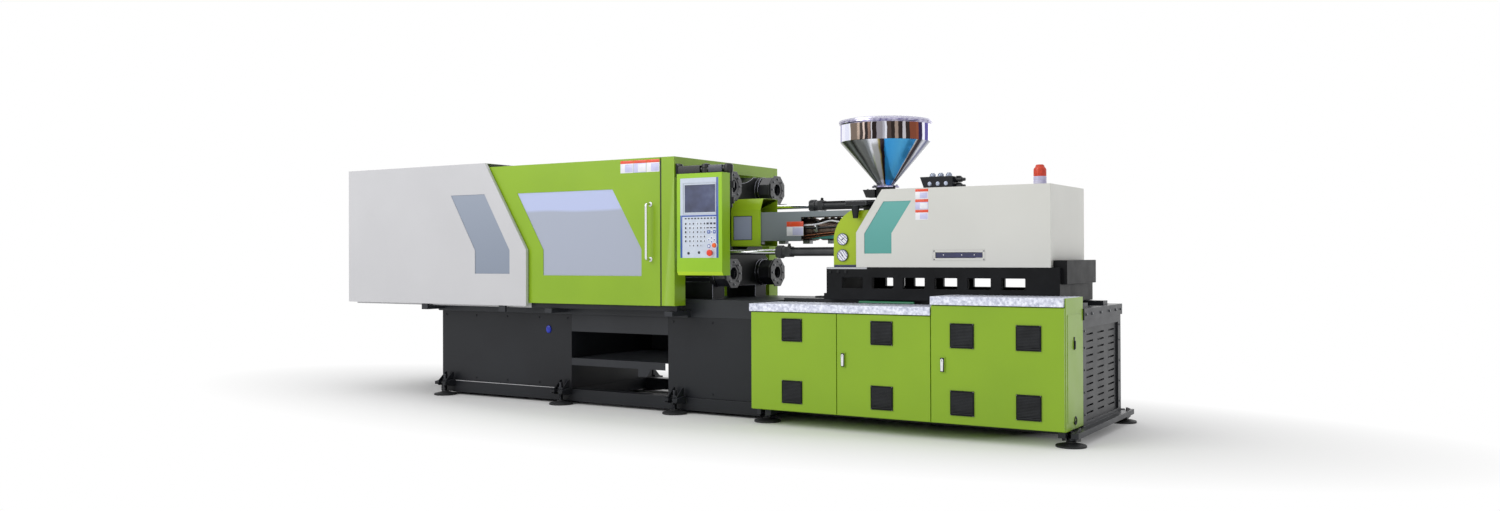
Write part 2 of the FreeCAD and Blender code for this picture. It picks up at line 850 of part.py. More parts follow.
def tank():
    """Closed oil tank with a proud cap, feet brackets and a sunk louvre panel at its end."""
    shell = box("tank_shell", ("tank_start", "tank_end"), ("0 - tank_front", "bed_half"),
                ("tank_bottom", "tank_top - tank_cap"))
    cap = box("tank_lid", ("tank_start", "tank_end + tank_cap_proud"),
              ("0 - tank_front", "bed_half + tank_cap_proud"), ("tank_top - tank_cap", "tank_top"))
    parts = [shell, cap]
    for tag in ("near", "far"):
        low, high = "slide_rail_inner", "slide_rail_outer"
        span = (f"0 - {high}", f"0 - {low}") if tag == "near" else (low, high)
        parts.append(box(f"slide_rail_{tag}", ("tank_start", "tank_end - slide_rail_inset"), span,
                         ("tank_top - tank_cap", "tank_top + slide_rail_height")))
    solid = fuse("tank_solid", *parts)
    pane = ("0 - tank_front + louvre_margin", "bed_half - louvre_margin")
    past = "tank_end + tank_cap_proud + overrun"
    tools = [box("louvre_sunk", ("tank_end - louvre_sink", past), pane, ("louvre_low", "louvre_high"))]
    rows = int(value("slot_rows"))
    columns = int(value("slot_columns"))
    pitch_z = "(louvre_high - louvre_low) / (slot_rows + 1)"
    pitch_y = "(bed_half + tank_front - 2 * louvre_margin) / slot_columns"
    for column in range(columns):
        middle = f"({pane[0]} + ({column} + 0.5) * {pitch_y})"
        for row in range(rows):
            height = f"(louvre_low + {row + 1} * {pitch_z})"
            tools.append(
                box(f"louvre_{column}_{row}", ("tank_end - 2 * louvre_sink", past),
                    (f"{middle} - slot_length / 2", f"{middle} + slot_length / 2"),
                    (f"{height} - slot_height / 2", f"{height} + slot_height / 2"))
            )
    brackets = [
        tank_bracket("tank_bracket_start", "foot_four", "tank_start"),
        tank_bracket("tank_bracket_end", "foot_five", "min(foot_five; tank_end) - bracket_half"),
    ]
    return fuse("tank_whole", cut("tank_cut", solid, *tools), *brackets)


def tank_bracket(name, station, start):
    """Cross beam from under the tank to a pair of feet, slotted over their screws."""
    reach = "(foot_span + bracket_reach)"
    beam = box(name + "_beam", (start, f"{station} + bracket_half"), (f"0 - {reach}", reach),
               ("cabinet_bottom - beam_drop - beam_thick", "cabinet_bottom - beam_drop"))
    slots = [
        box(f"{name}_slot_{tag}", (f"{station} - foot_screw - running", f"{station} + foot_screw + running"),
            span, ("0", "bracket_top"))
        for tag, span in (("near", (f"0 - {reach} - overrun", "foot_screw - foot_span")),
                          ("far", ("foot_span - foot_screw", f"{reach} + overrun")))
    ]
    return cut(name, beam, *slots)


# ---------------------------------------------------------------- cabinets
def carcass(name, start, end, top, shelf=False):
    front = "cabinet_front - door_thick - running"
    outer = box(name + "_outer", (start, end), (f"0 - ({front})", "0 - tank_front"), ("cabinet_bottom", top))
    rooms = [
        box(name + "_room", (f"{start} + cabinet_wall", f"{end} - cabinet_wall"),
            (f"0 - ({front}) - overrun", "0 - tank_front - cabinet_wall"),
            ("cabinet_bottom + cabinet_wall", f"{top} - cabinet_wall"))
    ]
    opened = cut(name + "_open", outer, *rooms)
    if not shelf:
        return opened
    post = box(name + "_post", ("door_split - 2 * cabinet_wall", "door_split + 2 * cabinet_wall"),
               (f"0 - ({front})", "0 - tank_front - cabinet_wall"), ("cabinet_bottom", top))
    return fuse(name + "_whole", opened, post)


def door(name, start, end, top, vents, lock=None):
    """A door slab with raised square vents, each cut by level slots, and a raised lock plate."""
    middle = "(cabinet_front - door_thick / 2)"
    body = body_at(name, "0", f"0 - {middle}", "0")
    low = "cabinet_bottom + door_gap"
    pad(body, name + "_slab", "XZ_Plane", rectangle(start, low, end, f"{top} - door_gap"), "door_thick")
    squares = []
    for station in vents:
        for height in ("vent_upper", "vent_lower"):
            squares.append(
                rectangle(f"{station} - vent_size / 2", f"{height} - vent_size / 2",
                          f"{station} + vent_size / 2", f"{height} + vent_size / 2")
            )
    sketch = plane_sketch(body, name + "_vent_sketch", "XZ_Plane", "vent_proud / 2")
    for square in squares:
        draw(sketch, square)
    raised = body.newObject("PartDesign::Pad", name + "_vents")
    raised.Profile = sketch
    raised.Midplane = True
    bind(raised, Length="door_thick + vent_proud")
    slots = []
    pitch = "(vent_size / (vent_slots + 1))"
    for station in vents:
        for height in ("vent_upper", "vent_lower"):
            lowest = f"{height} - vent_size / 2 + {pitch}"
            slots.append(
                rectangle(f"{station} - 0.4 * vent_size", f"{lowest} - vent_slot / 2",
                          f"{station} + 0.4 * vent_size", f"{lowest} + vent_slot / 2")
            )
    first = pocket(body, name + "_slot", "XZ_Plane", slots, "2 * vent_depth", "door_thick / 2 + vent_proud")
    rows = body.newObject("PartDesign::LinearPattern", name + "_slots")
    rows.Originals = [first]
    rows.Direction = (first.Profile[0], ["V_Axis"])
    bind(rows, Length=f"{pitch} * (vent_slots - 1)", Occurrences="vent_slots")
    if lock:
        plate = rectangle(f"{lock} - lock_width / 2", "lock_height - lock_tall / 2",
                          f"{lock} + lock_width / 2", "lock_height + lock_tall / 2")
        pad(body, name + "_lock", "XZ_Plane", plate, "door_thick + lock_proud", "lock_proud / 2")
    return body


def tread(name, start, end, top, left):
    """Folded tread plate: a flat top on turned-down lips."""
    front = "cabinet_front + tread_overhang"
    outer = box(name + "_outer", (f"{start} - {left}", end), (f"0 - ({front})", "0 - tank_front"),
                (top, f"{top} + tread_rise"))
    under = box(name + "_under", (f"{start} - {left} + tread_sheet", f"{end} - tread_sheet"),
                (f"tread_sheet - ({front})", "0 - tank_front - tread_sheet"),
                (f"{top} - overrun", f"{top} + tread_rise - tread_sheet"))
    return cut(name, outer, under)


def cabinets():
    node("cabinet_low", carcass("low_case", "cabinet_start", "cabinet_split", "cabinet_low_top", True))
    case = carcass("high_case", "cabinet_split", "cabinet_end", "cabinet_high_top")
    wall = box("high_wall", ("cabinet_end - cabinet_wall", "cabinet_end"),
               ("0 - (cabinet_front - door_thick - running)", "0 - tank_front"),
               ("cabinet_high_top - overrun", "cabinet_high_top + tread_rise"))
    node("cabinet_high", fuse("high_whole", case, wall))
    gap = "door_gap / 2"
    leaves = (
        ("door_left", "cabinet_start", "door_split", "cabinet_low_top", ["vent_one"], None),
        ("door_middle", "door_split", "cabinet_split", "cabinet_low_top", ["vent_two"], "lock_middle"),
        ("door_wide", "cabinet_split", "cabinet_end", "cabinet_high_top", ["vent_three", "vent_four"],
         "lock_wide"),
    )
    for label, start, end, top, vents, lock in leaves:
        node(label, door(label + "_leaf", f"{start} + {gap}", f"{end} - {gap}", top, vents, lock))
    node("tread_plates", group(
        "tread_pair",
        tread("tread_low", "cabinet_start", "cabinet_split - running", "cabinet_low_top", "tread_overhang"),
        tread("tread_high", "cabinet_split", "cabinet_end - cabinet_wall - running", "cabinet_high_top", "0"),
    ))


# ---------------------------------------------------------------- clamp
def plus_minus():
    return [(a, b) for a in ("0 - tie_offset", "tie_offset") for b in ("0 - tie_offset", "tie_offset")]


def tie_holes(name, start, length, radius):
    return [
        cylinder(f"{name}_{i}", "X", start, across, f"axis_height + ({up})", radius, length)
        for i, (across, up) in enumerate(plus_minus())
    ]


def platen_plate(name, face, thick, half):
    """An upright plate with clipped corners; face is its mould side."""
    clip = "platen_chamfer"
    low, high = f"axis_height - ({half})", f"axis_height + {half}"
    points = [
        (f"{clip} - ({half})", low),
        (f"{half} - {clip}", low),
        (half, f"{low} + {clip}"),
        (half, f"{high} - {clip}"),
        (f"{half} - {clip}", high),
        (f"{clip} - ({half})", high),
        (f"0 - ({half})", f"{high} - {clip}"),
        (f"0 - ({half})", f"{low} + {clip}"),
    ]
    return prism(name, "YZ_Plane", points, thick, x=f"({face} - {thick} / 2)")


def fixing_holes(name, face, depth):
    holes = []
    for i, (a, b) in enumerate([(-1, -1), (-1, 1), (1, -1), (1, 1)]):
        holes.append(
            cylinder(f"{name}_{i}", "X", f"{face} - {depth} / 2", f"{a} * fixing_spacing / 2",
                     f"axis_height + {b} * fixing_spacing / 2", "fixing_hole", depth)
        )
    return holes


def eye_block(name, station, rise, root, inner, outer):
    """A toggle ear: a rounded plate from a platen to its pin."""
    width = f"({outer} - ({inner}))"
    round_end = cylinder(name + "_eye", "Y", station, f"0 - {outer}", f"axis_height + {rise}", "eye_radius",
                         width)
    arm = prism(
        name + "_arm", "XZ_Plane",
        [
            (station, f"axis_height + {rise} + eye_radius"),
            (station, f"axis_height + {rise} - eye_radius"),
            (root, f"axis_height + {rise} - ear_root"),
            (root, f"axis_height + {rise} + ear_shoulder"),
        ],
        width, y=f"0 - ({inner} + {outer}) / 2",
    )
    return [round_end, arm]


def rear_platen():
    parts = [platen_plate("rear_plate", "rear_platen_face", "platen_thick", "platen_half")]
    ears = eye_block("rear_ear", "pivot_station", "pivot_rise", "rear_platen_face - overrun", "ear_inner",
                     "ear_outer")
    lower = [mirror(f"{ear.Name}_low", ear, (0, 0, 1), "axis_height") for ear in ears]
    near = ears + lower
    parts += near + [mirror(f"{ear.Name}_far", ear) for ear in near]
    for tag, up in (("up", "pivot_rise"), ("down", "0 - pivot_rise")):
        parts.append(cylinder(f"pivot_pin_{tag}", "Y", "pivot_station", "0 - ear_outer",
                              f"axis_height + ({up})", "pin_radius", "2 * ear_outer"))
    foot = box("rear_foot", ("rear_platen_face - platen_thick", "rear_platen_face"),
               ("0 - way_outer", "0 - way_inner"),
               ("ledge_top + way_height", "axis_height - platen_half + platen_chamfer"))
    parts += [foot, mirror("rear_foot_far", foot)]
    body = fuse("rear_casting", *parts)
    back = "rear_platen_face - platen_thick - overrun"
    through = "platen_thick + 2 * overrun"
    holes = tie_holes("rear_tie", back, through, "tie_radius + bore_fit")
    holes.append(cylinder("rear_centre", "X", back, "0", "axis_height", "piston_rod + bore_fit", through))
    for tag, shift in (("near", "0 - guide_offset"), ("far", "guide_offset")):
        holes.append(cylinder(f"rear_guide_{tag}", "X", "rear_platen_face - platen_thick / 2", shift,
                              "axis_height", "guide_radius + bore_fit", "platen_thick"))
    return cut("rear_bored", body, *holes)


def moving_platen():
    parts = [platen_plate("moving_plate", "moving_face", "platen_thick", "platen_half")]
    ears = eye_block("moving_ear", "moving_pivot", "pivot_rise", "moving_face - platen_thick + overrun",
                     "front_half + link_play", "plate_outer")
    lower = [mirror(f"{ear.Name}_low", ear, (0, 0, 1), "axis_height") for ear in ears]
    near = ears + lower
    parts += near + [mirror(f"{ear.Name}_far", ear) for ear in near]
    foot = box("moving_foot", ("moving_face - platen_thick", "moving_face"),
               ("0 - way_outer", "0 - way_inner"),
               ("ledge_top + way_height", "axis_height - platen_half + platen_chamfer"))
    parts += [foot, mirror("moving_foot_far", foot)]
    for tag, up in (("up", "pivot_rise"), ("down", "0 - pivot_rise")):
        head = cylinder(f"moving_pin_{tag}", "Y", "moving_pivot", "0 - plate_outer - pin_head",
                        f"axis_height + ({up})", "pin_radius + pin_head_wider", "pin_head")
        parts += [head, mirror(f"moving_pin_{tag}_far", head)]
    body = fuse("moving_casting", *parts)
    back = "moving_face - platen_thick - overrun"
    through = "platen_thick + 2 * overrun"
    holes = tie_holes("moving_tie", back, through, "tie_radius + bore_fit")
    holes.append(cylinder("moving_centre", "X", back, "0", "axis_height", "ejector_rod + bore_fit", through))
    holes += fixing_holes("moving_fixing", "moving_face", "2 * fixing_depth")
    return cut("moving_bored", body, *holes)


def fixed_platen():
    """The stationary platen: a plate hollowed at its sides and top between four bosses."""
    back = "(fixed_face + fixed_thick)"
    half, clip = "(platen_half + fixed_wider)", "platen_chamfer"
    low, high = f"(axis_height - {half})", f"(axis_height + {half})"
    right = [
        (f"{half} - {clip}", low),
        (half, f"{low} + {clip}"),
        (half, "axis_height - side_scallop_half"),
        (half, "axis_height + side_scallop_half"),
        (half, f"{high} - {clip}"),
        (f"{half} - {clip}", high),
        ("top_scallop_half", high),
    ]
    left = [(f"0 - ({across})", height) for across, height in reversed(right)]
    waist = f"{half} - side_scallop_depth"
    hollows = [(2, (waist, "axis_height")), (6, ("0", f"{high} - top_scallop_depth")),
               (10, (f"0 - ({waist})", "axis_height"))]
    plate = prism("fixed_plate", "YZ_Plane", right + left, "fixed_thick", x=f"({back} - fixed_thick / 2)",
                  arcs=hollows)
    parts = [plate]
    parts += tie_holes("fixed_boss", f"{back} - overrun", f"boss_end - {back} + overrun", "boss_radius")
    foot = box("fixed_foot", ("fixed_face", back), ("0 - way_outer", "fixed_foot_wider - way_inner"),
               ("deck_top", "axis_height - platen_half + platen_chamfer"))
    parts += [foot, mirror("fixed_foot_far", foot)]
    body = fuse("fixed_casting", *parts)
    face = "fixed_face - overrun"
    holes = tie_holes("fixed_tie", face, "boss_end - fixed_face + 2 * overrun", "tie_radius + bore_fit")
    holes.append(cylinder("fixed_ring", "X", face, "0", "axis_height", "ring_radius", "ring_depth + overrun"))
    holes.append(cylinder("fixed_bore", "X", "fixed_face", "0", "axis_height", "nozzle_bore", "fixed_thick"))
    holes.append(cylinder("fixed_cone", "X", "fixed_face + 2 * ring_depth", "0", "axis_height", "nozzle_bore",
                          "fixed_thick - 2 * ring_depth", top="nozzle_cone"))
    holes += fixing_holes("fixed_fixing", "fixed_face", "2 * fixing_depth")
    return cut("fixed_bored", body, *holes)


def clamp_bars():
    back = "(rear_platen_face - platen_thick)"
    bars = tie_holes("tie", back, f"boss_end - {back}", "tie_radius")
    for tag, shift in (("near", "0 - guide_offset"), ("far", "guide_offset")):
        bars.append(cylinder(f"guide_{tag}", "X", "rear_platen_face - platen_thick / 2", shift, "axis_height",
                             "guide_radius", "guide_end - rear_platen_face + platen_thick / 2"))
    return group("bars", *bars)


def tie_nuts():
    """Closed cap nuts on the bars: octagonal locking plates on the front ones."""
    nuts = []
    for i, (across, up) in enumerate(plus_minus()):
        height = f"axis_height + ({up})"
        lock = doc.addObject("Part::Prism", f"nut_lock_{i}")
        lock.Polygon = 8
        bind(lock, Circumradius="lock_radius", Height="lock_plate")
        place(lock, "boss_end + nut_length", across, height, (0, 1, 0), 90)
        upright = FreeCAD.Rotation(FreeCAD.Vector(0, 0, 1), 180 / lock.Polygon)
        lock.Placement.Rotation = lock.Placement.Rotation * upright
        cap = cylinder(f"nut_round_{i}", "X", "boss_end", across, height, "nut_radius", "nut_length")
        nuts.append(fuse(f"nut_front_{i}", cap, lock))
        nuts.append(cylinder(f"nut_rear_{i}", "X", "rear_platen_face - platen_thick - rear_nut_length",
                             across, height, "nut_radius", "rear_nut_length"))
    return group("nuts", *nuts)


def clamp_cylinder():
    end = "rear_platen_face - platen_thick"
    body = fuse(
        "ram_body",
        cylinder("ram_tube", "X", "cylinder_start", "0", "axis_height", "cylinder_radius",
                 f"{end} - cylinder_start"),
        cylinder("ram_head", "X", "cylinder_start", "0", "axis_height", "cylinder_head", "ram_head_length"),
        cylinder("ram_flange", "X", f"{end} - ram_flange_length", "0", "axis_height", "cylinder_flange",
                 "ram_flange_length"),
    )
    bore = cylinder("ram_bore", "X", "cylinder_start + ram_bore_inset", "0", "axis_height",
                    "piston_rod + bore_fit", f"{end} - cylinder_start")
    return cut("ram", body, bore)


# toggle geometry with the clamp open, from the link lengths
open_turn = math.radians(value("open_angle"))
drop = value("rear_link") * math.sin(open_turn)
front_turn = math.asin(drop / value("front_link"))
knee = (value("pivot_station") + value("rear_link") * math.cos(open_turn), value("pivot_rise") - drop)
front_eye = (knee[0] + value("front_link") * math.cos(front_turn), value("pivot_rise"))
third_turn = open_turn + math.radians(value("third_angle"))
third = (
    value("pivot_station") + value("third_radius") * math.cos(third_turn),
    value("pivot_rise") - value("third_radius") * math.sin(third_turn),
)
short_drop = third[1] - value("crosshead_rise")
crosshead_station = third[0] - math.sqrt(value("short_link") ** 2 - short_drop**2)
for alias, number in (
    ("moving_pivot", front_eye[0]),
    ("knee_station", knee[0]),
    ("knee_rise", knee[1]),
    ("third_station", third[0]),
    ("third_rise", third[1]),
    ("crosshead_station", crosshead_station),
):
    SIZES[alias] = number
    line = len(SIZES)
    sheet.set(f"A{line}", str(number))
    sheet.setAlias(f"A{line}", alias)
doc.recompute()


def bar_between(name, start, end, width, half):
    """A flat bar between two points of station and rise, as wide as its eyes' waist."""
    (x0, z0), (x1, z1) = start, end
    run, rise = f"({x1} - {x0})", f"({z1} - {z0})"
    length = f"sqrt({run} ^ 2 + {rise} ^ 2)"
    nx, nz = f"({rise} / {length} * {width})", f"({run} / {length} * {width})"
    zs, ze = f"axis_height + {z0}", f"axis_height + {z1}"
    points = [
        (f"{x0} - {nx}", f"{zs} + {nz}"),
        (f"{x0} + {nx}", f"{zs} - {nz}"),
        (f"{x1} + {nx}", f"{ze} - {nz}"),
        (f"{x1} - {nx}", f"{ze} + {nz}"),
    ]
    return prism(name, "XZ_Plane", points, f"2 * {half}")


def eye(name, at, radius, half):
    return cylinder(name, "Y", at[0], f"0 - ({half})", f"axis_height + {at[1]}", radius, f"2 * ({half})")


PIVOT = ("pivot_station", "pivot_rise")
KNEE = ("knee_station", "knee_rise")
THIRD = ("third_station", "third_rise")
FRONT = ("moving_pivot", "pivot_rise")
CROSS = ("crosshead_station", "crosshead_rise")


def rear_link(name):
    """Two plates with the knee pin and the short link's pin between them."""
    middle = ("(pivot_station + knee_station) / 2", "(pivot_rise + knee_rise) / 2")
    blank = fuse(
        name + "_blank",
        eye(name + "_eye_pivot", PIVOT, "eye_radius", "plate_outer"),
        eye(name + "_eye_knee", KNEE, "eye_radius", "plate_outer"),
        eye(name + "_eye_third", THIRD, "small_eye", "plate_outer"),
        bar_between(name + "_bar", PIVOT, KNEE, "rear_waist", "plate_outer"),
        bar_between(name + "_lobe", THIRD, middle, "lobe_waist", "plate_outer"),
    )
    room = box(name + "_room", ("third_station - 3 * eye_radius", "knee_station + 3 * eye_radius"),
               ("0 - plate_inner", "plate_inner"),
               ("axis_height - 3 * eye_radius", "axis_height + 2 * pivot_rise"))
    bore = eye(name + "_bore_pivot", PIVOT, "pin_radius + bore_fit", "plate_outer + overrun")
    return fuse(
        name,
        cut(name + "_plates", blank, room, bore),
        eye(name + "_knee_pin", KNEE, "pin_radius", "plate_outer"),
        eye(name + "_third_pin", THIRD, "small_pin", "plate_outer"),
    )


def front_link(name):
    blank = fuse(
        name + "_blank",
        eye(name + "_eye_knee", KNEE, "eye_radius", "front_half"),
        eye(name + "_eye_front", FRONT, "eye_radius", "front_half"),
        bar_between(name + "_bar", KNEE, FRONT, "front_waist", "front_half"),
    )
    return cut(
        name, blank,
        eye(name + "_bore_knee", KNEE, "pin_radius + bore_fit", "front_half + overrun"),
        eye(name + "_bore_front", FRONT, "pin_radius + bore_fit", "front_half + overrun"),
    )


def short_link(name):
    blank = fuse(
        name + "_blank",
        eye(name + "_eye_third", THIRD, "small_eye", "short_half"),
        eye(name + "_eye_cross", CROSS, "small_eye", "short_half"),
        bar_between(name + "_bar", THIRD, CROSS, "short_waist", "short_half"),
    )
    return cut(
        name, blank,
        eye(name + "_bore_third", THIRD, "small_pin + bore_fit", "short_half + overrun"),
        eye(name + "_bore_cross", CROSS, "small_pin + bore_fit", "short_half + overrun"),
    )


def crosshead():
    """Guided block with an ear each side of both short links, and the flanged piston rod."""
    x = ("crosshead_station - crosshead_half", "crosshead_station + crosshead_half")
    beam = box("cross_beam", x, ("0 - crosshead_width", "crosshead_width"),
               ("axis_height - crosshead_height", "axis_height + crosshead_height"))
    ear = box("cross_ear", x, ("0 - (plate_inner - short_play)", "0 - (short_half + short_play)"),
              ("axis_height - crosshead_rise - small_eye", "axis_height + crosshead_rise + small_eye"))
    block = fuse("cross_block", beam, ear, mirror("cross_ear_far", ear))
    room = box("cross_room", x, ("0 - (short_half + short_play)", "short_half + short_play"),
               ("axis_height + crosshead_web", "axis_height + crosshead_rise"))
    guides = [
        cylinder(f"cross_guide_{tag}", "X", "crosshead_station - crosshead_half - overrun", shift,
                 "axis_height", "guide_radius + bore_fit", "2 * (crosshead_half + overrun)")
        for tag, shift in (("near", "0 - guide_offset"), ("far", "guide_offset"))
    ]
    back = "(crosshead_station - crosshead_half)"
    rod = cylinder("piston", "X", "cylinder_start + piston_inset", "0", "axis_height", "piston_rod",
                   f"{back} - cylinder_start - piston_inset")
    flange = cylinder("piston_flange", "X", f"{back} - rod_flange_thick", "0", "axis_height", "rod_flange",
                      "rod_flange_thick")
    bored = cut("cross_bored", block, room, mirror("cross_room_low", room, (0, 0, 1), "axis_height"), *guides)
    return fuse("cross_whole", bored, rod, flange)


def ejector_cylinder():
    start = "moving_face - platen_thick - ejector_length"
    body = cylinder("ejector_tube", "X", start, "0", "axis_height", "ejector_radius", "ejector_length")
    bore = cylinder("ejector_bore", "X", f"{start} + ejector_floor", "0", "axis_height",
                    "ejector_rod + bore_fit", "ejector_length")
    return cut("ejector_body", body, bore)


def ejector_rod():
    start = "moving_face - platen_thick - ejector_length + ejector_back"
    return cylinder("ejector", "X", start, "0", "axis_height", "ejector_rod",
                    "platen_thick + ejector_length - ejector_back - ejector_sunk")


# ---------------------------------------------------------------- guards of the clamp
def slanted_window(start, width, high, knee_at, low, lap="0"):
    """Corners of a window: parallel slanted sides above the knee, upright ones under it."""
    run = f"window_slope * ({high} - {knee_at})"
    return [
        (f"{start} - ({lap})", f"{high} + ({lap})"),
        (f"{start} + {run} - ({lap})", knee_at),
        (f"{start} + {run} - ({lap})", f"{low} - ({lap})"),
        (f"{start} + {run} + {width} + ({lap})", f"{low} - ({lap})"),
        (f"{start} + {run} + {width} + ({lap})", knee_at),
        (f"{start} + {width} + ({lap})", f"{high} + ({lap})"),
    ]


def folded_panel(name, outline, inside, window, half, depth):
    """A sheet panel with its edges folded inwards; half is its outer face from the centre plane."""
    body = body_at(name, "0", f"0 - ({half} - {depth} / 2)", "0")
    pad(body, name + "_blank", "XZ_Plane", outline, depth)
    pocket(body, name + "_fold", "XZ_Plane", [inside], f"2 * ({depth} - guard_sheet)", f"0 - {depth} / 2")
    feature = pocket(body, name + "_window", "XZ_Plane", [window], f"2 * {depth}")
    body.Tip = feature
    return body


def cover_outline(inset="0"):
    """The clamp cover's side: a rectangle whose front slants back above the knee."""
    return [
        (inset, f"cover_bottom + {inset}"),
        (f"cover_long - {inset}", f"cover_bottom + {inset}"),
        (f"cover_long - {inset}", f"cover_knee + {inset} * 0.3"),
        (f"cover_short - {inset} * 1.2", f"cover_top - {inset}"),
        (inset, f"cover_top - {inset}"),
    ]


COVER_WINDOW = ("(cover_long - cover_window_inset)", "cover_window_width", "cover_window_top", "window_knee",
                "cover_window_bottom")
GATE_WINDOW = ("gate_window_start", "gate_window_width", "gate_window_top", "window_knee",
               "gate_window_bottom")


def clamp_cover_side():
    return folded_panel("cover_side", cover_outline(), cover_outline("guard_sheet"),
                        slanted_window(*COVER_WINDOW), "cover_half", "cover_depth")


def cover_pane():
    return prism("cover_glass", "XZ_Plane", slanted_window(*COVER_WINDOW, lap="pane_lap"), "pane_thick",
                 y="0 - (cover_half - guard_sheet - pane_thick / 2)")


def clamp_roof():
    """Roof and end of the clamp cover, one sheet folded at the end's top edge."""
    half = "(cover_half - cover_depth)"
    roof = box("roof_sheet", ("0", "cover_short"), (f"0 - {half}", half),
               ("cover_top - guard_sheet", "cover_top"))
    end = box("end_sheet", ("0", "guard_sheet"), (f"0 - {half}", half), ("cover_bottom", "cover_top"))
    return fuse("roof", roof, end)


def gate_panel():
    lip = "guard_sheet"
    outline = rectangle("gate_start", "gate_bottom", "gate_end", "gate_top")
    inside = rectangle(f"gate_start + {lip}", f"gate_bottom + {lip}", f"gate_end - {lip}",
                       f"gate_top - {lip}")
    panel = folded_panel("gate_leaf", outline, inside, slanted_window(*GATE_WINDOW), "gate_half",
                         "gate_depth")
    hooks = []
    rail = "(gate_half - gate_depth)"
    stations = ("gate_start + hook_inset", "gate_end - hook_inset - hook_length")
    for tag, station in zip(("left", "right"), stations):
        hooks.append(
            box(f"gate_hook_{tag}", (station, f"{station} + hook_length"),
                (f"0 - {rail}", f"hook_depth - {rail}"),
                ("gate_top - rail_drop + running", "gate_top - guard_sheet"))
        )
    return fuse("gate_whole", panel, *hooks)


def gate_pane():
    return prism("gate_glass", "XZ_Plane", slanted_window(*GATE_WINDOW, lap="pane_lap"), "pane_thick",
                 y="0 - (gate_half - guard_sheet - pane_thick / 2)")


def handle():
    """Bow handle whose two ends stand on the gate."""
    reach, bend = "handle_reach", "handle_bend"
    low, high = "handle_bottom", "handle_top"
    route = [("0", low), (f"{bend} - {reach}", low), (f"0 - {reach}", f"{low} + {bend}"),
             (f"0 - {reach}", f"{high} - {bend}"), (f"{bend} - {reach}", high), ("0", high)]
    body = body_at("handle_bow", "handle_station", "0 - gate_half", "0")
    return tube(body, "handle", "YZ_Plane", route, "XZ_Plane", "0", ("0", low), "handle_radius")


def guard_frame():
    """Green portal, gate rails and the blocks that carry the roof."""
    rail_outer = "(gate_half - gate_depth - running)"
    post = box("post", ("post_start", "post_end"), ("0 - gate_half", "post_depth - gate_half"),
               ("gate_bottom", "gate_top"))
    beam = box("beam", ("post_start", "post_end"), ("0 - gate_half", "0"),
               ("gate_top - beam_height", "gate_top"))
    y = (f"0 - {rail_outer}", f"rail_thick - {rail_outer}")
    top_rail = box("top_rail", ("rail_start", "post_end"), y,
                   ("gate_top - rail_drop - rail_tall", "gate_top - rail_drop"))
    low_rail = box("low_rail", ("rail_start", "post_end"), y, ("ledge_top", "gate_bottom"))
    parts = [post, beam, top_rail, low_rail]
    for number, station in enumerate(("rail_start", "cover_short - strut_inset")):
        parts.append(
            box(f"roof_block_{number}", (station, f"{station} + strut"),
                (f"rail_thick - strut_lap - {rail_outer}", f"rail_thick + strut_depth - {rail_outer}"),
                ("gate_top - rail_drop - rail_tall", "cover_top - guard_sheet"))
        )
        parts.append(
            box(f"roof_strut_{number}", (station, f"{station} + strut"),
                (f"rail_thick - {rail_outer}", f"rail_thick + strut_depth - {rail_outer}"),
                ("ledge_top", "gate_top - rail_drop"))
        )
    half = fuse("guard_near", *parts)
    return fuse("guard", half, mirror("guard_far", half))


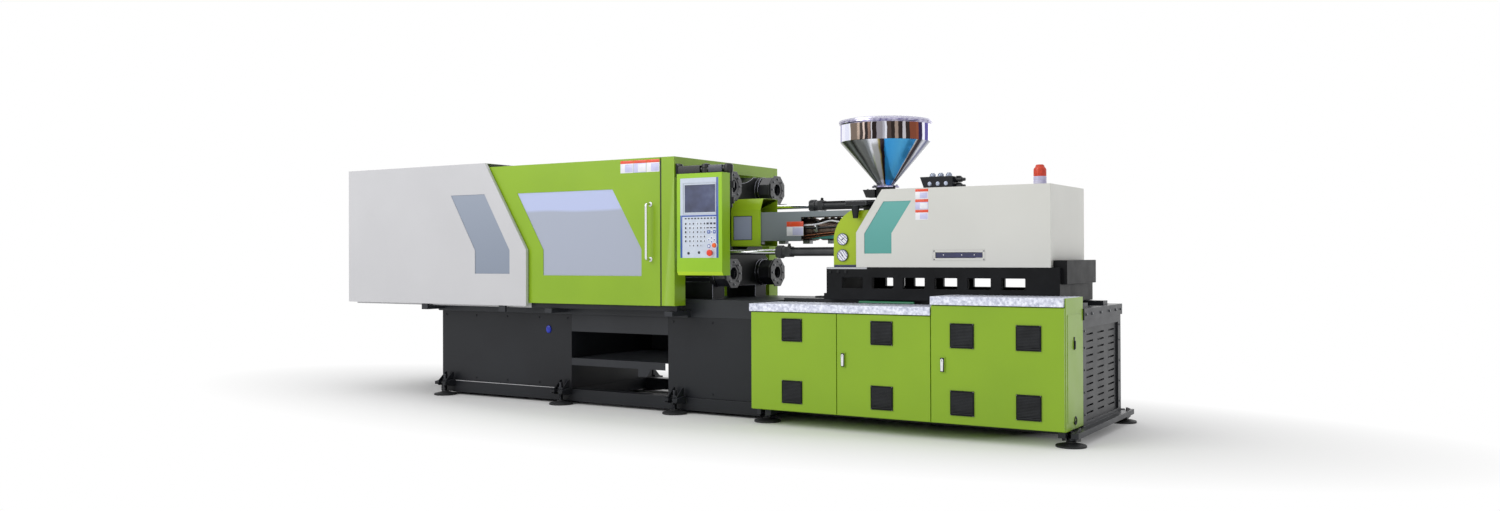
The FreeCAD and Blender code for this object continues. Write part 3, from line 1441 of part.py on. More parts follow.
# ---------------------------------------------------------------- control panel
def control_panel():
    front, back = "panel_front", "(panel_front - panel_depth)"
    shell = box("panel_box", ("panel_start", "panel_end"), (f"0 - {front}", f"0 - {back}"),
                ("panel_bottom", "panel_top"))
    chamfer = prism(
        "panel_chamfer", "YZ_Plane",
        [
            (f"0 - {front} - overrun", "panel_bottom - overrun"),
            (f"panel_edge - {front}", "panel_bottom - overrun"),
            (f"panel_edge - {front}", "panel_bottom"),
            (f"0 - {front}", "panel_bottom + panel_edge_rise"),
            (f"0 - {front} - overrun", "panel_bottom + panel_edge_rise"),
        ],
        "panel_end - panel_start + 2 * overrun", x="((panel_start + panel_end) / 2)",
    )
    sunk = box("panel_sunk", ("panel_start + plate_margin", "panel_end - plate_margin"),
               (f"0 - {front} - overrun", f"plate_sink - {front}"), ("plate_low", "plate_high"))
    sockets = [
        cylinder(f"panel_{tag}_socket", "Y", f"{tag}_station", "0 - panel_front - overrun", f"{tag}_height",
                 "button_stem + bore_fit", "socket_depth + overrun")
        for tag in ("start", "stop")
    ]
    case = cut("panel_case", shell, chamfer, sunk, *sockets)
    knuckles = []
    for number, height in enumerate(("panel_top - knuckle_first", "panel_top - knuckle_second")):
        ring = cylinder(f"knuckle_{number}", "Z", "arm_station", "0 - arm_depth", height,
                        "arm_radius + knuckle_wall", "knuckle_height")
        tab = box(f"knuckle_tab_{number}", ("arm_station - arm_radius", "arm_station + arm_radius"),
                  (f"0 - {back}", "0 - arm_depth"), (height, f"{height} + knuckle_height"))
        knuckles.extend([ring, tab])
    bore = cylinder("knuckle_bore", "Z", "arm_station", "0 - arm_depth", "panel_bottom",
                    "arm_radius + bore_fit", "panel_top")
    ears = cut("knuckles", fuse("knuckle_block", *knuckles), bore)
    node("panel_housing", fuse("panel_whole", case, ears))
    face = box("panel_face", ("panel_start + plate_margin", "panel_end - plate_margin"),
               (f"0 - {front}", f"plate_sink - {front}"), ("plate_low", "plate_high"))
    window = box("panel_window", ("screen_start", "screen_end"),
                 (f"0 - {front} - overrun", f"overrun - {front}"), ("screen_low", "screen_high"))
    holes = [
        cylinder(f"face_{tag}_hole", "Y", f"{tag}_station", "0 - panel_front - overrun", f"{tag}_height",
                 "button_stem + bore_fit", "2 * overrun")
        for tag in ("start", "stop")
    ]
    node("panel_faceplate", cut("faceplate", face, window, *holes))
    node("panel_screen", box("screen", ("screen_start + pane_gap", "screen_end - pane_gap"),
                             ("plate_sink - panel_front - screen_thick", "plate_sink - panel_front"),
                             ("screen_low + pane_gap", "screen_high - pane_gap")))
    for tag, label in (("start", "start_button"), ("stop", "stop_button")):
        face = f"0 - panel_front - {tag}_rise"
        stem = cylinder(f"{tag}_stem", "Y", f"{tag}_station", f"{face} + {tag}_cap / 2", f"{tag}_height",
                        "button_stem", f"{tag}_rise - {tag}_cap / 2 + stem_depth")
        narrow = {"top": "stop_neck"} if tag == "stop" else {}
        cap = cylinder(f"{tag}_head", "Y", f"{tag}_station", face, f"{tag}_height", f"{tag}_radius",
                       f"{tag}_cap", **narrow)
        node(label, fuse(f"{tag}_whole", stem, cap))


def panel_arm():
    """Bent tube from the post over the panel and down behind it."""
    route = [("post_end", "arm_height"), ("arm_station - arm_bend", "arm_height"),
             ("arm_station", "arm_height - arm_bend"), ("arm_station", "arm_bottom")]
    body = body_at("arm_tube", "0", "0 - arm_depth", "0")
    return tube(body, "arm", "XZ_Plane", route, "YZ_Plane", "post_end", ("0", "arm_height"), "arm_radius")


# ---------------------------------------------------------------- nozzle guard
def nozzle_hood():
    """Sheet tube round the nozzle, with a bevelled top edge and a door opening in front."""
    start = "fixed_face + fixed_thick"

    def section(inset):
        return [
            (f"{inset} - hood_half", f"hood_bottom + {inset}"),
            (f"{inset} - hood_half", f"hood_top - hood_bevel - {inset} * 0.4"),
            (f"hood_bevel_run - hood_half + {inset} * 0.4", f"hood_top - {inset}"),
            (f"hood_half - {inset}", f"hood_top - {inset}"),
            (f"hood_half - {inset}", f"hood_bottom + {inset}"),
        ]

    middle = f"(({start} + hood_end) / 2)"
    outer = prism("hood_outer", "YZ_Plane", section("0"), f"hood_end - ({start})", x=middle)
    inner = prism("hood_inner", "YZ_Plane", section("hood_sheet"), f"hood_end - ({start}) + 2 * overrun",
                  x=middle)
    opening = box("hood_opening", ("hood_door_start + hood_rim", "hood_door_end - hood_rim"),
                  ("0 - hood_half - overrun", "overrun - hood_half"),
                  ("hood_bottom + hood_rim", "hood_top - hood_bevel - hood_rim"))
    return cut("hood", outer, inner, opening)


def nozzle_door():
    back = "(hood_half + running)"
    slab = box("hood_leaf", ("hood_door_start", "hood_door_end"),
               (f"0 - {back} - hood_door_thick", f"0 - {back}"),
               ("hood_bottom + hood_sheet", "hood_top - hood_bevel - hood_sheet"))
    hole = box("hood_leaf_window", ("hood_window_start", "hood_window_end"),
               (f"0 - {back} - 2 * overrun", f"overrun - {back}"), ("hood_window_low", "hood_window_high"))
    return cut("hood_door", slab, hole)


def nozzle_pane():
    back = "(hood_half + running)"
    return box("hood_pane", ("hood_window_start + pane_gap", "hood_window_end - pane_gap"),
               (f"hood_pane_recess - {back} - hood_door_thick", f"0 - {back}"),
               ("hood_window_low + pane_gap", "hood_window_high - pane_gap"))


# ---------------------------------------------------------------- carriage and injection unit
def carriage_lines():
    return (("low", "0 - carriage_offset", "axis_height - carriage_low"),
            ("high", "carriage_far_offset", "axis_height + carriage_high"))


def carriage_rods():
    start = "fixed_face + fixed_thick"
    rods = [
        cylinder(f"rod_{tag}", "X", start, y, z, "carriage_rod", f"carriage_rod_end - ({start})")
        for tag, y, z in carriage_lines()
    ]
    return group("rods", *rods)


def carriage_cylinders():
    rams = []
    for tag, y, z in carriage_lines():
        body = fuse(
            f"carriage_{tag}_body",
            cylinder(f"carriage_{tag}_gland", "X", "gland_start", y, z, "gland_radius", "gland_ring"),
            cylinder(f"carriage_{tag}_neck", "X", "gland_start", y, z, "gland_neck", "gland_length"),
            cylinder(f"carriage_{tag}_tube", "X", "gland_start", y, z, "carriage_body",
                     "carriage_end - gland_start"),
            box(f"carriage_{tag}_foot", ("carriage_end - foot_length", "carriage_end"),
                (f"({y}) - carriage_foot_half", f"({y}) + carriage_foot_half"), ("base_top", z)),
        )
        bore = cylinder(f"carriage_{tag}_bore", "X", "gland_start - overrun", y, z, "carriage_rod + bore_fit",
                        "carriage_bore_end - gland_start + overrun")
        rams.append(cut(f"carriage_{tag}", body, bore))
    return group("carriage_pair", *rams)


def injection_base():
    """Box casting with six side openings, a bottom flange and an end block."""
    body = body_at("base_casting")
    pad(body, "base_blank", "XZ_Plane",
        rectangle("base_start", "tank_top + slide_rail_height", "base_end", "base_top"), "2 * base_half")
    pocket(body, "base_hollow", "XZ_Plane",
           [rectangle("base_start + base_wall", "tank_top + slide_rail_height + base_plate",
                      "base_end - base_wall", "base_top - base_plate")],
           "2 * (base_half - base_wall)")
    window = rectangle("base_window_start", "base_window_low",
                       "base_window_start + base_window_length", "base_window_high")
    first = pocket(body, "base_window", "XZ_Plane", [window], "2 * (base_half + overrun)")
    row = body.newObject("PartDesign::LinearPattern", "base_windows")
    row.Originals = [first]
    row.Direction = (first.Profile[0], ["H_Axis"])
    bind(row, Length="(base_window_count - 1) * base_window_pitch", Occurrences="base_window_count")
    body.Tip = row
    floor = "tank_top + slide_rail_height"
    flange = box("base_sole", ("base_start - base_foot_proud", "base_start + base_wall"),
                 ("0 - base_half", "base_half"), (floor, f"{floor} + base_foot"))
    block = box("base_block", ("end_block_start", "end_block_end"), ("0 - end_block_half", "end_block_half"),
                ("end_block_low", "end_block_top"))
    return fuse("base_whole", body, flange, block)


def hood_outline(inset="0", past="0"):
    return [
        (f"hood_low_start - ({past})", f"base_top - ({past})"),
        (f"hood_low_start - ({past})", "hood_knee"),
        (f"hood_top_start - ({past})", f"hood_roof - {inset}"),
        (f"hood_right - {inset}", f"hood_roof - {inset}"),
        (f"hood_right - {inset}", f"base_top - ({past})"),
    ]


def pane_outline(lap="0"):
    high = "(hood_roof - pane_drop)"
    run = f"(hood_top_start - hood_low_start) / (hood_roof - hood_knee) * ({high} - pane_knee)"
    return [
        (f"pane_start - ({lap})", f"{high} + ({lap})"),
        (f"pane_start - {run} - ({lap})", "pane_knee"),
        (f"pane_start - {run} - ({lap})", f"pane_low - ({lap})"),
        (f"pane_start - {run} + pane_width + ({lap})", f"pane_low - ({lap})"),
        (f"pane_start - {run} + pane_width + ({lap})", "pane_knee"),
        (f"pane_start + pane_width + ({lap})", f"{high} + ({lap})"),
    ]


def injection_cover():
    """Hood open below and towards the hopper, with a window and a slot in each side."""
    body = body_at("unit_cover")
    pad(body, "cover_blank", "XZ_Plane", hood_outline(), "2 * base_half")
    pocket(body, "cover_hollow", "XZ_Plane", [hood_outline("hood_wall", "hood_open")],
           "2 * (base_half - hood_wall)")
    through = "2 * (base_half + overrun)"
    pocket(body, "cover_windows", "XZ_Plane", [pane_outline()], through)
    body.Tip = pocket(body, "cover_slot", "XZ_Plane",
                      [rectangle("slot_start", "slot_low", "slot_end", "slot_high")], through)
    return body


def injection_panes():
    near = prism("unit_pane", "XZ_Plane", pane_outline("pane_lap"), "pane_thick",
                 y="0 - (base_half - hood_wall - pane_thick / 2)")
    return both("unit_panes", near)


def nose_cap():
    """Green sheet cap before the cover, curved back above, with ways for the barrel and a cylinder."""
    slope = "(hood_top_start - hood_low_start) / (hood_roof - hood_knee)"
    back = "hood_low_start - cap_gap"
    top_back = f"{back} + {slope} * (cap_top - hood_knee)"
    outline = [
        ("cap_start", "base_top"),
        ("cap_start", "cap_shoulder"),
        ("cap_corner", "cap_top"),
        (top_back, "cap_top"),
        (back, "hood_knee"),
        (back, "base_top"),
    ]
    hollow = [
        ("cap_start + cap_sheet", "base_top - cap_open"),
        ("cap_start + cap_sheet", "cap_shoulder"),
        ("cap_corner", "cap_top - cap_sheet"),
        ("cap_corner", "cap_top + cap_open"),
        (f"{top_back} + cap_open", "cap_top + cap_open"),
        (f"{back} + cap_open", "hood_knee"),
        (f"{back} + cap_open", "base_top - cap_open"),
    ]
    outer_bow = (1, ("cap_bulge", "cap_bulge_height"))
    inner_bow = (1, ("cap_bulge + cap_sheet / sqrt(2)", "cap_bulge_height - cap_sheet / sqrt(2)"))
    outer = prism("cap_outer", "XZ_Plane", outline, "2 * cap_half", arcs=[outer_bow])
    inner = prism("cap_inner", "XZ_Plane", hollow, "2 * (cap_half - cap_sheet)", arcs=[inner_bow])
    slot = box("cap_slot", ("cap_start - overrun", "hopper_station"),
               ("0 - shield_half - shield_room", "shield_half + shield_room"),
               ("axis_height - shield_low - shield_room", "cap_top + overrun"))
    way = cylinder("cap_way", "X", "cap_start - overrun", "0 - carriage_offset", "axis_height - carriage_low",
                   "carriage_body + way_room", "cap_corner - cap_start")
    notch = box("cap_notch", ("carriage_end - foot_length - notch_room", "carriage_end + notch_room"),
                ("carriage_far_offset - carriage_body", "carriage_far_offset + carriage_body"),
                ("cap_shoulder", "cap_top + overrun"))
    return cut("cap", outer, inner, slot, way, notch)


def gauges():
    dials = []
    for tag in ("upper", "lower"):
        rim = cylinder(f"gauge_{tag}_rim", "Y", "gauge_station", "0 - cap_half - gauge_thick",
                       f"gauge_{tag}", "gauge_radius", "gauge_thick")
        dials.append(rim)
    return group("dials", *dials)


def barrel():
    parts = [
        cylinder("nozzle", "X", "nozzle_tip", "0", "axis_height", "nozzle_tip_radius", "nozzle_taper",
                 top="nozzle_radius"),
        cylinder("nozzle_body", "X", "nozzle_tip + nozzle_taper", "0", "axis_height", "nozzle_radius",
                 "barrel_start - nozzle_tip - nozzle_taper"),
        cylinder("barrel_tube", "X", "barrel_start", "0", "axis_height", "barrel_radius",
                 "hopper_station - feed_half - barrel_start"),
    ]
    for band in range(int(value("heater_count"))):
        start = f"heater_start + {band} * (heater_length + heater_gap)"
        parts.append(cylinder(f"heater_{band}", "X", start, "0", "axis_height", "heater_radius",
                              "heater_length"))
    return fuse("barrel_whole", *parts)


def barrel_shield():
    """Folded guard over the barrel: a long roof that ends on the feed block, with shorter side walls."""
    x = ("shield_start", "hopper_station - feed_half")
    top = "axis_height + shield_high"
    outer = box("shield_outer", x, ("0 - shield_half", "shield_half"), ("axis_height - shield_low", top))
    inner = box("shield_inner", (f"{x[0]} - overrun", f"{x[1]} + overrun"),
                ("shield_sheet - shield_half", "shield_half - shield_sheet"),
                ("axis_height - shield_low - overrun", f"{top} - shield_sheet"))
    bay = box("shield_bay", ("shield_front_end", f"{x[1]} - shield_tail"),
              ("0 - shield_half - overrun", "shield_half + overrun"),
              ("axis_height - shield_low - overrun", f"{top} - shield_edge"))
    return cut("shield", outer, inner, bay)


def feed_block():
    x = ("hopper_station - feed_half", "hopper_station + feed_half")
    seat = box("feed_seat", x, ("0 - feed_width", "feed_width"), ("base_top", "feed_top"))
    plate = box("feed_plate", ("hopper_station - feed_half", "hopper_station + bracket_span / 2"),
                ("0 - bracket_front", "feed_width"), ("feed_top", "feed_top + bracket_thick"))
    throat = cylinder("feed_throat", "Z", "hopper_station", "0", "feed_top", "throat_radius",
                      "hopper_bottom - feed_top")
    cup = cylinder("oil_cup", "Z", "hopper_station - cup_offset",
                   "cup_top_radius + cup_inset - bracket_front", "feed_top - cup_height",
                   "cup_bottom_radius", "cup_height", top="cup_top_radius")
    bore = cylinder("feed_bore", "Z", "hopper_station", "0", "axis_height", "throat_bore",
                    "hopper_bottom - axis_height + overrun")
    return cut("feed", fuse("feed_solid", seat, plate, throat, cup), bore)


def hopper():
    """Turned shell: flange, cone, drum and a rolled rim."""
    wall = "hopper_sheet"
    return revolved(
        "hopper_shell",
        [
            ("hopper_neck - 2 * hopper_sheet", "0"),
            ("hopper_flange", "0"),
            ("hopper_flange", "hopper_flange_thick"),
            ("hopper_neck", "hopper_flange_thick"),
            ("hopper_radius", "hopper_cone_top - hopper_bottom"),
            ("hopper_radius", "hopper_rim - hopper_bottom - 2 * hopper_bead"),
            ("hopper_radius + hopper_bead", "hopper_rim - hopper_bottom - 2 * hopper_bead"),
            ("hopper_radius + hopper_bead", "hopper_rim - hopper_bottom"),
            (f"hopper_radius - {wall}", "hopper_rim - hopper_bottom"),
            (f"hopper_radius - {wall}", f"hopper_cone_top - hopper_bottom + {wall} * 0.7"),
            ("hopper_neck - 2 * hopper_sheet", "hopper_flange_thick"),
        ],
        "hopper_station", "0", "hopper_bottom",
    )


def hopper_lid():
    """Shallow lid whose turned-down edge goes round the rim."""
    outer = "hopper_radius + hopper_bead + running + hopper_sheet"
    return revolved(
        "lid",
        [
            ("0", "running"),
            ("hopper_radius + hopper_bead + running", "running"),
            ("hopper_radius + hopper_bead + running", "0 - lid_lip"),
            (outer, "0 - lid_lip"),
            (outer, "running"),
            ("lid_crown", "lid_thick"),
            ("0", "lid_thick"),
        ],
        "hopper_station", "0", "hopper_rim",
    )


def beacon():
    base = cylinder("beacon_foot", "Z", "beacon_station", "0", "hood_roof", "beacon_radius", "beacon_base")
    lens = revolved(
        "beacon_dome",
        [
            ("0", "0"),
            ("lens_radius", "0"),
            ("lens_radius", "lens_shoulder"),
            ("lens_top", "beacon_lens"),
            ("0", "beacon_lens"),
        ],
        "beacon_station", "0", "hood_roof + beacon_base",
    )
    return group("beacon_pair", base, lens)


def valve_block():
    """Manifold with one slanted end, cartridge plugs on top and two solenoids at its other end."""
    high = "hood_roof + valve_block"
    parts = [
        prism(
            "manifold", "XZ_Plane",
            [("valve_start", "hood_roof"), ("valve_end", "hood_roof"), ("valve_end", high),
             ("valve_start - valve_slant", high)],
            "2 * valve_half",
        )
    ]
    for number in range(int(value("plug_count"))):
        station = f"valve_start + plug_first + {number} * plug_pitch"
        parts.append(cylinder(f"cartridge_{number}", "Z", station, "0", high, "plug_radius", "plug_tall"))
    for number, height in enumerate(("solenoid_low", "solenoid_high")):
        parts.append(
            cylinder(f"solenoid_{number}", "X", "valve_end", "0", f"hood_roof + {height}", "solenoid_radius",
                     "solenoid_length")
        )
    return fuse("valves", *parts)


# ---------------------------------------------------------------- the sub-parts
node("bed_frame", bed())
node("bed_skins", skins())
node("bay_tray", bay_tray())
node("levelling_feet", feet())
node("oil_tank", tank())
cabinets()
node("rear_platen", rear_platen())
node("clamp_bars", clamp_bars())
node("tie_bar_nuts", tie_nuts())
node("clamp_cylinder", clamp_cylinder())
node("moving_platen", moving_platen())
node("ejector_cylinder", ejector_cylinder())
node("ejector_rod", ejector_rod())
node("crosshead", crosshead())
for label, make in (("rear_link", rear_link), ("front_link", front_link), ("short_link", short_link)):
    upper = node(label + "_upper", make(label))
    node(label + "_lower", mirror(label + "_mirrored", upper, (0, 0, 1), "axis_height"))
node("fixed_platen", fixed_platen())
node("guard_frame", guard_frame())
node("cover_sides", both("cover_panels", clamp_cover_side()))
node("cover_windows", both("cover_glasses", cover_pane()))
node("cover_roof", clamp_roof())
gate = node("gate_front", gate_panel())
node("gate_rear", mirror("gate_far", gate))
pane = node("gate_front_window", gate_pane())
node("gate_rear_window", mirror("gate_pane_far", pane))
bow = node("gate_front_handle", handle())
node("gate_rear_handle", mirror("handle_far", bow))
control_panel()
node("panel_arm", panel_arm())
node("nozzle_guard", nozzle_hood())
node("nozzle_guard_door", nozzle_door())
node("nozzle_guard_window", nozzle_pane())
node("carriage_rods", carriage_rods())
node("carriage_cylinders", carriage_cylinders())
node("injection_base", injection_base())
node("injection_cover", injection_cover())
node("injection_cover_windows", injection_panes())
node("nose_cap", nose_cap())
node("gauges", gauges())
node("barrel", barrel())
node("barrel_guard", barrel_shield())
node("feed_block", feed_block())
node("hopper", hopper())
node("hopper_lid", hopper_lid())
node("beacon", beacon())
node("valve_block", valve_block())

doc.recompute()

faults = [f"{thing.Name}: {thing.State}" for thing in doc.Objects
          if "Invalid" in thing.State or "Error" in thing.State]
for name, thing in nodes.items():
    if thing.Shape.isNull() or not thing.Shape.isValid() or not thing.Shape.Solids:
        faults.append(f"{name} has no valid solid")
if faults:
    raise SystemExit("\n".join(faults))

os.makedirs("parts", exist_ok=True)
for name, thing in nodes.items():
    thing.Shape.exportStep(f"parts/{name}.step")
print(len(nodes), "sub-parts written")
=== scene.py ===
import json
import math

import bmesh
import bpy
from mathutils import Matrix, Vector


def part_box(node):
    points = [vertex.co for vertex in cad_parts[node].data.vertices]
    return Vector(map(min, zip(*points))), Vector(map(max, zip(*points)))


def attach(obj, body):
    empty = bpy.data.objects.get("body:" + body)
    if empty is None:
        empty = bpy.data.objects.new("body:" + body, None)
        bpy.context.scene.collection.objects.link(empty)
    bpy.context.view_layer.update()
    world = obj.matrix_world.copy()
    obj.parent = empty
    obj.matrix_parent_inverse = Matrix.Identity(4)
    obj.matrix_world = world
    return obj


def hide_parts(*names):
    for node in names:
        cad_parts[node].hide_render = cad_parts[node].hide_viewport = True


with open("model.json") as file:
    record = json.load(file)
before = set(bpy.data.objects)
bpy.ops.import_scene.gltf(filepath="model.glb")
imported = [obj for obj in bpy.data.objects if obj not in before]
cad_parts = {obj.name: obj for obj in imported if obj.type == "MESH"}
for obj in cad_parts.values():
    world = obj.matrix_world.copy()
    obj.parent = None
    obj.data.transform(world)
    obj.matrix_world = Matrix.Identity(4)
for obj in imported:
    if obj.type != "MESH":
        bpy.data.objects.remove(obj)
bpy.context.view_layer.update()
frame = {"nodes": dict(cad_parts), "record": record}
print("frame loaded:", len(frame["nodes"]), "nodes")

mm = 0.001
mergeGap = 0.00001  # metres: points nearer than this are one
originStation = 2759  # the frame's origin, in mm from the clamp end; stations below count from there
axisHeight = 1170  # line of the clamp and the nozzle
riders = {node: body for body, nodes in frame["record"]["behaviour"]["bodies"].items() for node in nodes}


# camera, light and floor
view = {
    "station": 7225,
    "across": -6661,
    "height": 999,
    "turn": 32.396,
    "tip": 0.366,
    "roll": -0.197,
    "lens": 28.22,
    "shift": (0.0135, -0.0044),
}
light = {
    "sky": 0.42,
    "key": (-3.6, -7.5, 5.6, 7.0, 385),  # x, y, z, size in metres, watts
    "fill": (7.5, -6.0, 3.2, 5.0, 14),
    "top": (0.5, 0.5, 7.5, 8.0, 155),
    "back": (1.0, 8.0, 4.0, 7.0, 90),
}


def spot(station, across, height):
    return Vector(((station - originStation) * mm, across * mm, height * mm))


def toLinear(colour):
    parts = [int(colour[i:i + 2], 16) / 255 for i in (1, 3, 5)]
    return [p / 12.92 if p <= 0.04045 else ((p + 0.055) / 1.055) ** 2.4 for p in parts] + [1.0]


def perMetre(size):
    return 1000 / size  # a pattern's scale from its size in mm


def addNode(material, kind, settings=None, links=None):
    node = material.node_tree.nodes.new("ShaderNode" + kind)
    for key, value in (settings or {}).items():
        if key == "stops":
            for number, (place, colour) in enumerate(value):
                ramp = node.color_ramp.elements
                stop = ramp[number] if number < len(ramp) else ramp.new(place)
                stop.position = place
                stop.color = toLinear(colour)
        elif key == "interpolation":
            node.color_ramp.interpolation = value
        elif isinstance(key, int) or not hasattr(node, key):
            node.inputs[key].default_value = value
        else:
            setattr(node, key, value)
    for key, source in (links or {}).items():
        material.node_tree.links.new(source, node.inputs[key])
    return node


def newMaterial(name):
    material = bpy.data.materials.new(name)
    material.use_nodes = True
    material.node_tree.nodes.clear()
    return material


def finishMaterial(material, shader):
    addNode(material, "OutputMaterial", links={"Surface": shader.outputs[0]})
    return material


def makeCamera():
    camera = bpy.data.objects.new("camera", bpy.data.cameras.new("camera"))
    bpy.context.scene.collection.objects.link(camera)
    camera.data.lens = view["lens"]
    camera.data.shift_x, camera.data.shift_y = view["shift"]
    turn = Matrix.Rotation(math.radians(view["turn"]), 4, "Z")
    tip = Matrix.Rotation(math.radians(90 + view["tip"]), 4, "X")
    roll = Matrix.Rotation(math.radians(view["roll"]), 4, "Z")
    place = Matrix.Translation(spot(view["station"], view["across"], view["height"]))
    camera.matrix_world = place @ turn @ tip @ roll
    bpy.context.scene.camera = camera


def makeLights():
    world = bpy.data.worlds.new("studio")
    world.use_nodes = True
    world.node_tree.nodes.clear()
    path = addNode(world, "LightPath")
    seen = addNode(world, "Math", {"operation": "MAXIMUM"},
                   {0: path.outputs["Is Camera Ray"], 1: path.outputs["Is Glossy Ray"]})
    seen = addNode(world, "Math", {"operation": "MAXIMUM"},
                   {0: seen.outputs[0], 1: path.outputs["Is Transmission Ray"]})
    level = addNode(world, "MapRange", {"To Min": light["sky"], "To Max": 1.0}, {"Value": seen.outputs[0]})
    backdrop = addNode(world, "Background", {"Color": (1, 1, 1, 1)}, {"Strength": level.outputs[0]})
    addNode(world, "OutputWorld", links={"Surface": backdrop.outputs[0]})
    bpy.context.scene.world = world
    for name in ("key", "fill", "top", "back"):
        x, y, z, size, watts = light[name]
        lamp = bpy.data.objects.new(name, bpy.data.lights.new(name, "AREA"))
        bpy.context.scene.collection.objects.link(lamp)
        lamp.data.size = size
        lamp.data.energy = watts
        lamp.location = (x, y, z)
        lamp.rotation_euler = (Vector((0, 0, 0.9)) - lamp.location).to_track_quat("-Z", "Y").to_euler()
    bpy.context.scene.view_settings.view_transform = "Standard"


def makeFloor():
    # matt white studio floor: it keeps the machine's shadow near it, and fades to the white backdrop
    material = newMaterial("studioFloor")
    place = addNode(material, "TexCoord")
    flat = addNode(material, "VectorMath", {"operation": "MULTIPLY", 1: (0.26, 0.62, 0)},
                   {0: place.outputs["Object"]})
    far = addNode(material, "VectorMath", {"operation": "LENGTH"}, {0: flat.outputs[0]})
    fade = addNode(material, "MapRange", {"From Min": 0.62, "From Max": 1.25},
                   {"Value": far.outputs["Value"]})
    matt = addNode(material, "BsdfDiffuse", {"Color": toLinear("#F6F6F6")})
    glow = addNode(material, "Emission", {"Color": (1, 1, 1, 1), "Strength": 1.0})
    mix = addNode(material, "MixShader", {}, {0: fade.outputs[0], 1: matt.outputs[0], 2: glow.outputs[0]})
    finishMaterial(material, mix)
    bm = bmesh.new()
    bmesh.ops.create_grid(bm, x_segments=1, y_segments=1, size=60)
    mesh = bpy.data.meshes.new("floor")
    bm.to_mesh(mesh)
    bm.free()
    mesh.materials.append(material)
    floor = bpy.data.objects.new("floor", mesh)
    bpy.context.scene.collection.objects.link(floor)
    floor.location.z = -0.0005


makeCamera()
makeLights()
makeFloor()
print("camera, light and floor made")


# finishes
def paintedSheet(name, colour, shade, roughness=0.30, coat=0.1, shine=0.4):
    # powder-coated steel sheet: faint orange peel, tone that drifts over a panel, duller where it is handled
    material = newMaterial(name)
    place = addNode(material, "TexCoord").outputs["Object"]
    drift = addNode(material, "TexNoise", {"Scale": perMetre(650), "Detail": 3.0}, {"Vector": place})
    tone = addNode(material, "ValToRGB", {"stops": [(0.32, shade), (0.6, colour)]}, {"Fac": drift.outputs[0]})
    smudge = addNode(material, "TexNoise", {"Scale": perMetre(140), "Detail": 5.0}, {"Vector": place})
    gloss = addNode(material, "MapRange", {"To Min": roughness - 0.06, "To Max": roughness + 0.12},
                    {"Value": smudge.outputs[0]})
    peel = addNode(material, "TexNoise", {"Scale": perMetre(7), "Detail": 1.0}, {"Vector": place})
    bump = addNode(material, "Bump", {"Strength": 0.3, "Distance": 0.0002}, {"Height": peel.outputs[0]})
    shader = addNode(material, "BsdfPrincipled",
                     {"Coat Weight": coat, "Coat Roughness": 0.15, "Specular IOR Level": shine},
                     {"Base Color": tone.outputs[0], "Roughness": gloss.outputs[0],
                      "Normal": bump.outputs[0]})
    return finishMaterial(material, shader)


def paintedCasting(name, colour, shade, roughness=0.42, shine=0.25):
    # painted grey iron, sand cast: a coarse skin under the paint and dark dust in random patches
    material = newMaterial(name)
    place = addNode(material, "TexCoord").outputs["Object"]
    dust = addNode(material, "TexNoise", {"Scale": perMetre(90), "Detail": 6.0}, {"Vector": place})
    tone = addNode(material, "ValToRGB", {"stops": [(0.35, shade), (0.65, colour)]}, {"Fac": dust.outputs[0]})
    gloss = addNode(material, "MapRange", {"To Min": roughness - 0.08, "To Max": roughness + 0.15},
                    {"Value": dust.outputs[0]})
    sand = addNode(material, "TexNoise", {"Scale": perMetre(5), "Detail": 3.0}, {"Vector": place})
    bump = addNode(material, "Bump", {"Strength": 0.5, "Distance": 0.0006}, {"Height": sand.outputs[0]})
    shader = addNode(material, "BsdfPrincipled", {"Specular IOR Level": shine},
                     {"Base Color": tone.outputs[0], "Roughness": gloss.outputs[0],
                      "Normal": bump.outputs[0]})
    return finishMaterial(material, shader)


def bareSteel(name, colour, shade, roughness, grain=(0.02, 1, 1), lines=1.5):
    # machined steel: fine tool lines, long along the grain's small number and lines mm apart across it
    material = newMaterial(name)
    place = addNode(material, "TexCoord").outputs["Object"]
    along = addNode(material, "Mapping", {"Scale": grain}, {"Vector": place})
    tool = addNode(material, "TexNoise", {"Scale": perMetre(lines), "Detail": 2.0},
                   {"Vector": along.outputs[0]})
    tone = addNode(material, "ValToRGB", {"stops": [(0.3, shade), (0.7, colour)]}, {"Fac": tool.outputs[0]})
    gloss = addNode(material, "MapRange", {"To Min": roughness * 0.75, "To Max": roughness * 1.3},
                    {"Value": tool.outputs[0]})
    bump = addNode(material, "Bump", {"Strength": 0.25, "Distance": 0.0001}, {"Height": tool.outputs[0]})
    shader = addNode(material, "BsdfPrincipled", {"Metallic": 1.0},
                     {"Base Color": tone.outputs[0], "Roughness": gloss.outputs[0],
                      "Normal": bump.outputs[0]})
    return finishMaterial(material, shader)


def mouldedPlastic(name, colour, shade, roughness=0.4, grain=3, clear=0.0, shine=0.4):
    # injection-moulded plastic: a fine spark-eroded grain; clear lets light into a lens or pane
    material = newMaterial(name)
    place = addNode(material, "TexCoord").outputs["Object"]
    mottle = addNode(material, "TexNoise", {"Scale": perMetre(60), "Detail": 3.0}, {"Vector": place})
    tone = addNode(material, "ValToRGB", {"stops": [(0.35, shade), (0.65, colour)]},
                   {"Fac": mottle.outputs[0]})
    erode = addNode(material, "TexVoronoi", {"Scale": perMetre(grain)}, {"Vector": place})
    bump = addNode(material, "Bump", {"Strength": 0.15, "Distance": 0.0002}, {"Height": erode.outputs[0]})
    shader = addNode(material, "BsdfPrincipled",
                     {"Roughness": roughness, "Transmission Weight": clear, "Specular IOR Level": shine},
                     {"Base Color": tone.outputs[0], "Normal": bump.outputs[0]})
    return finishMaterial(material, shader)


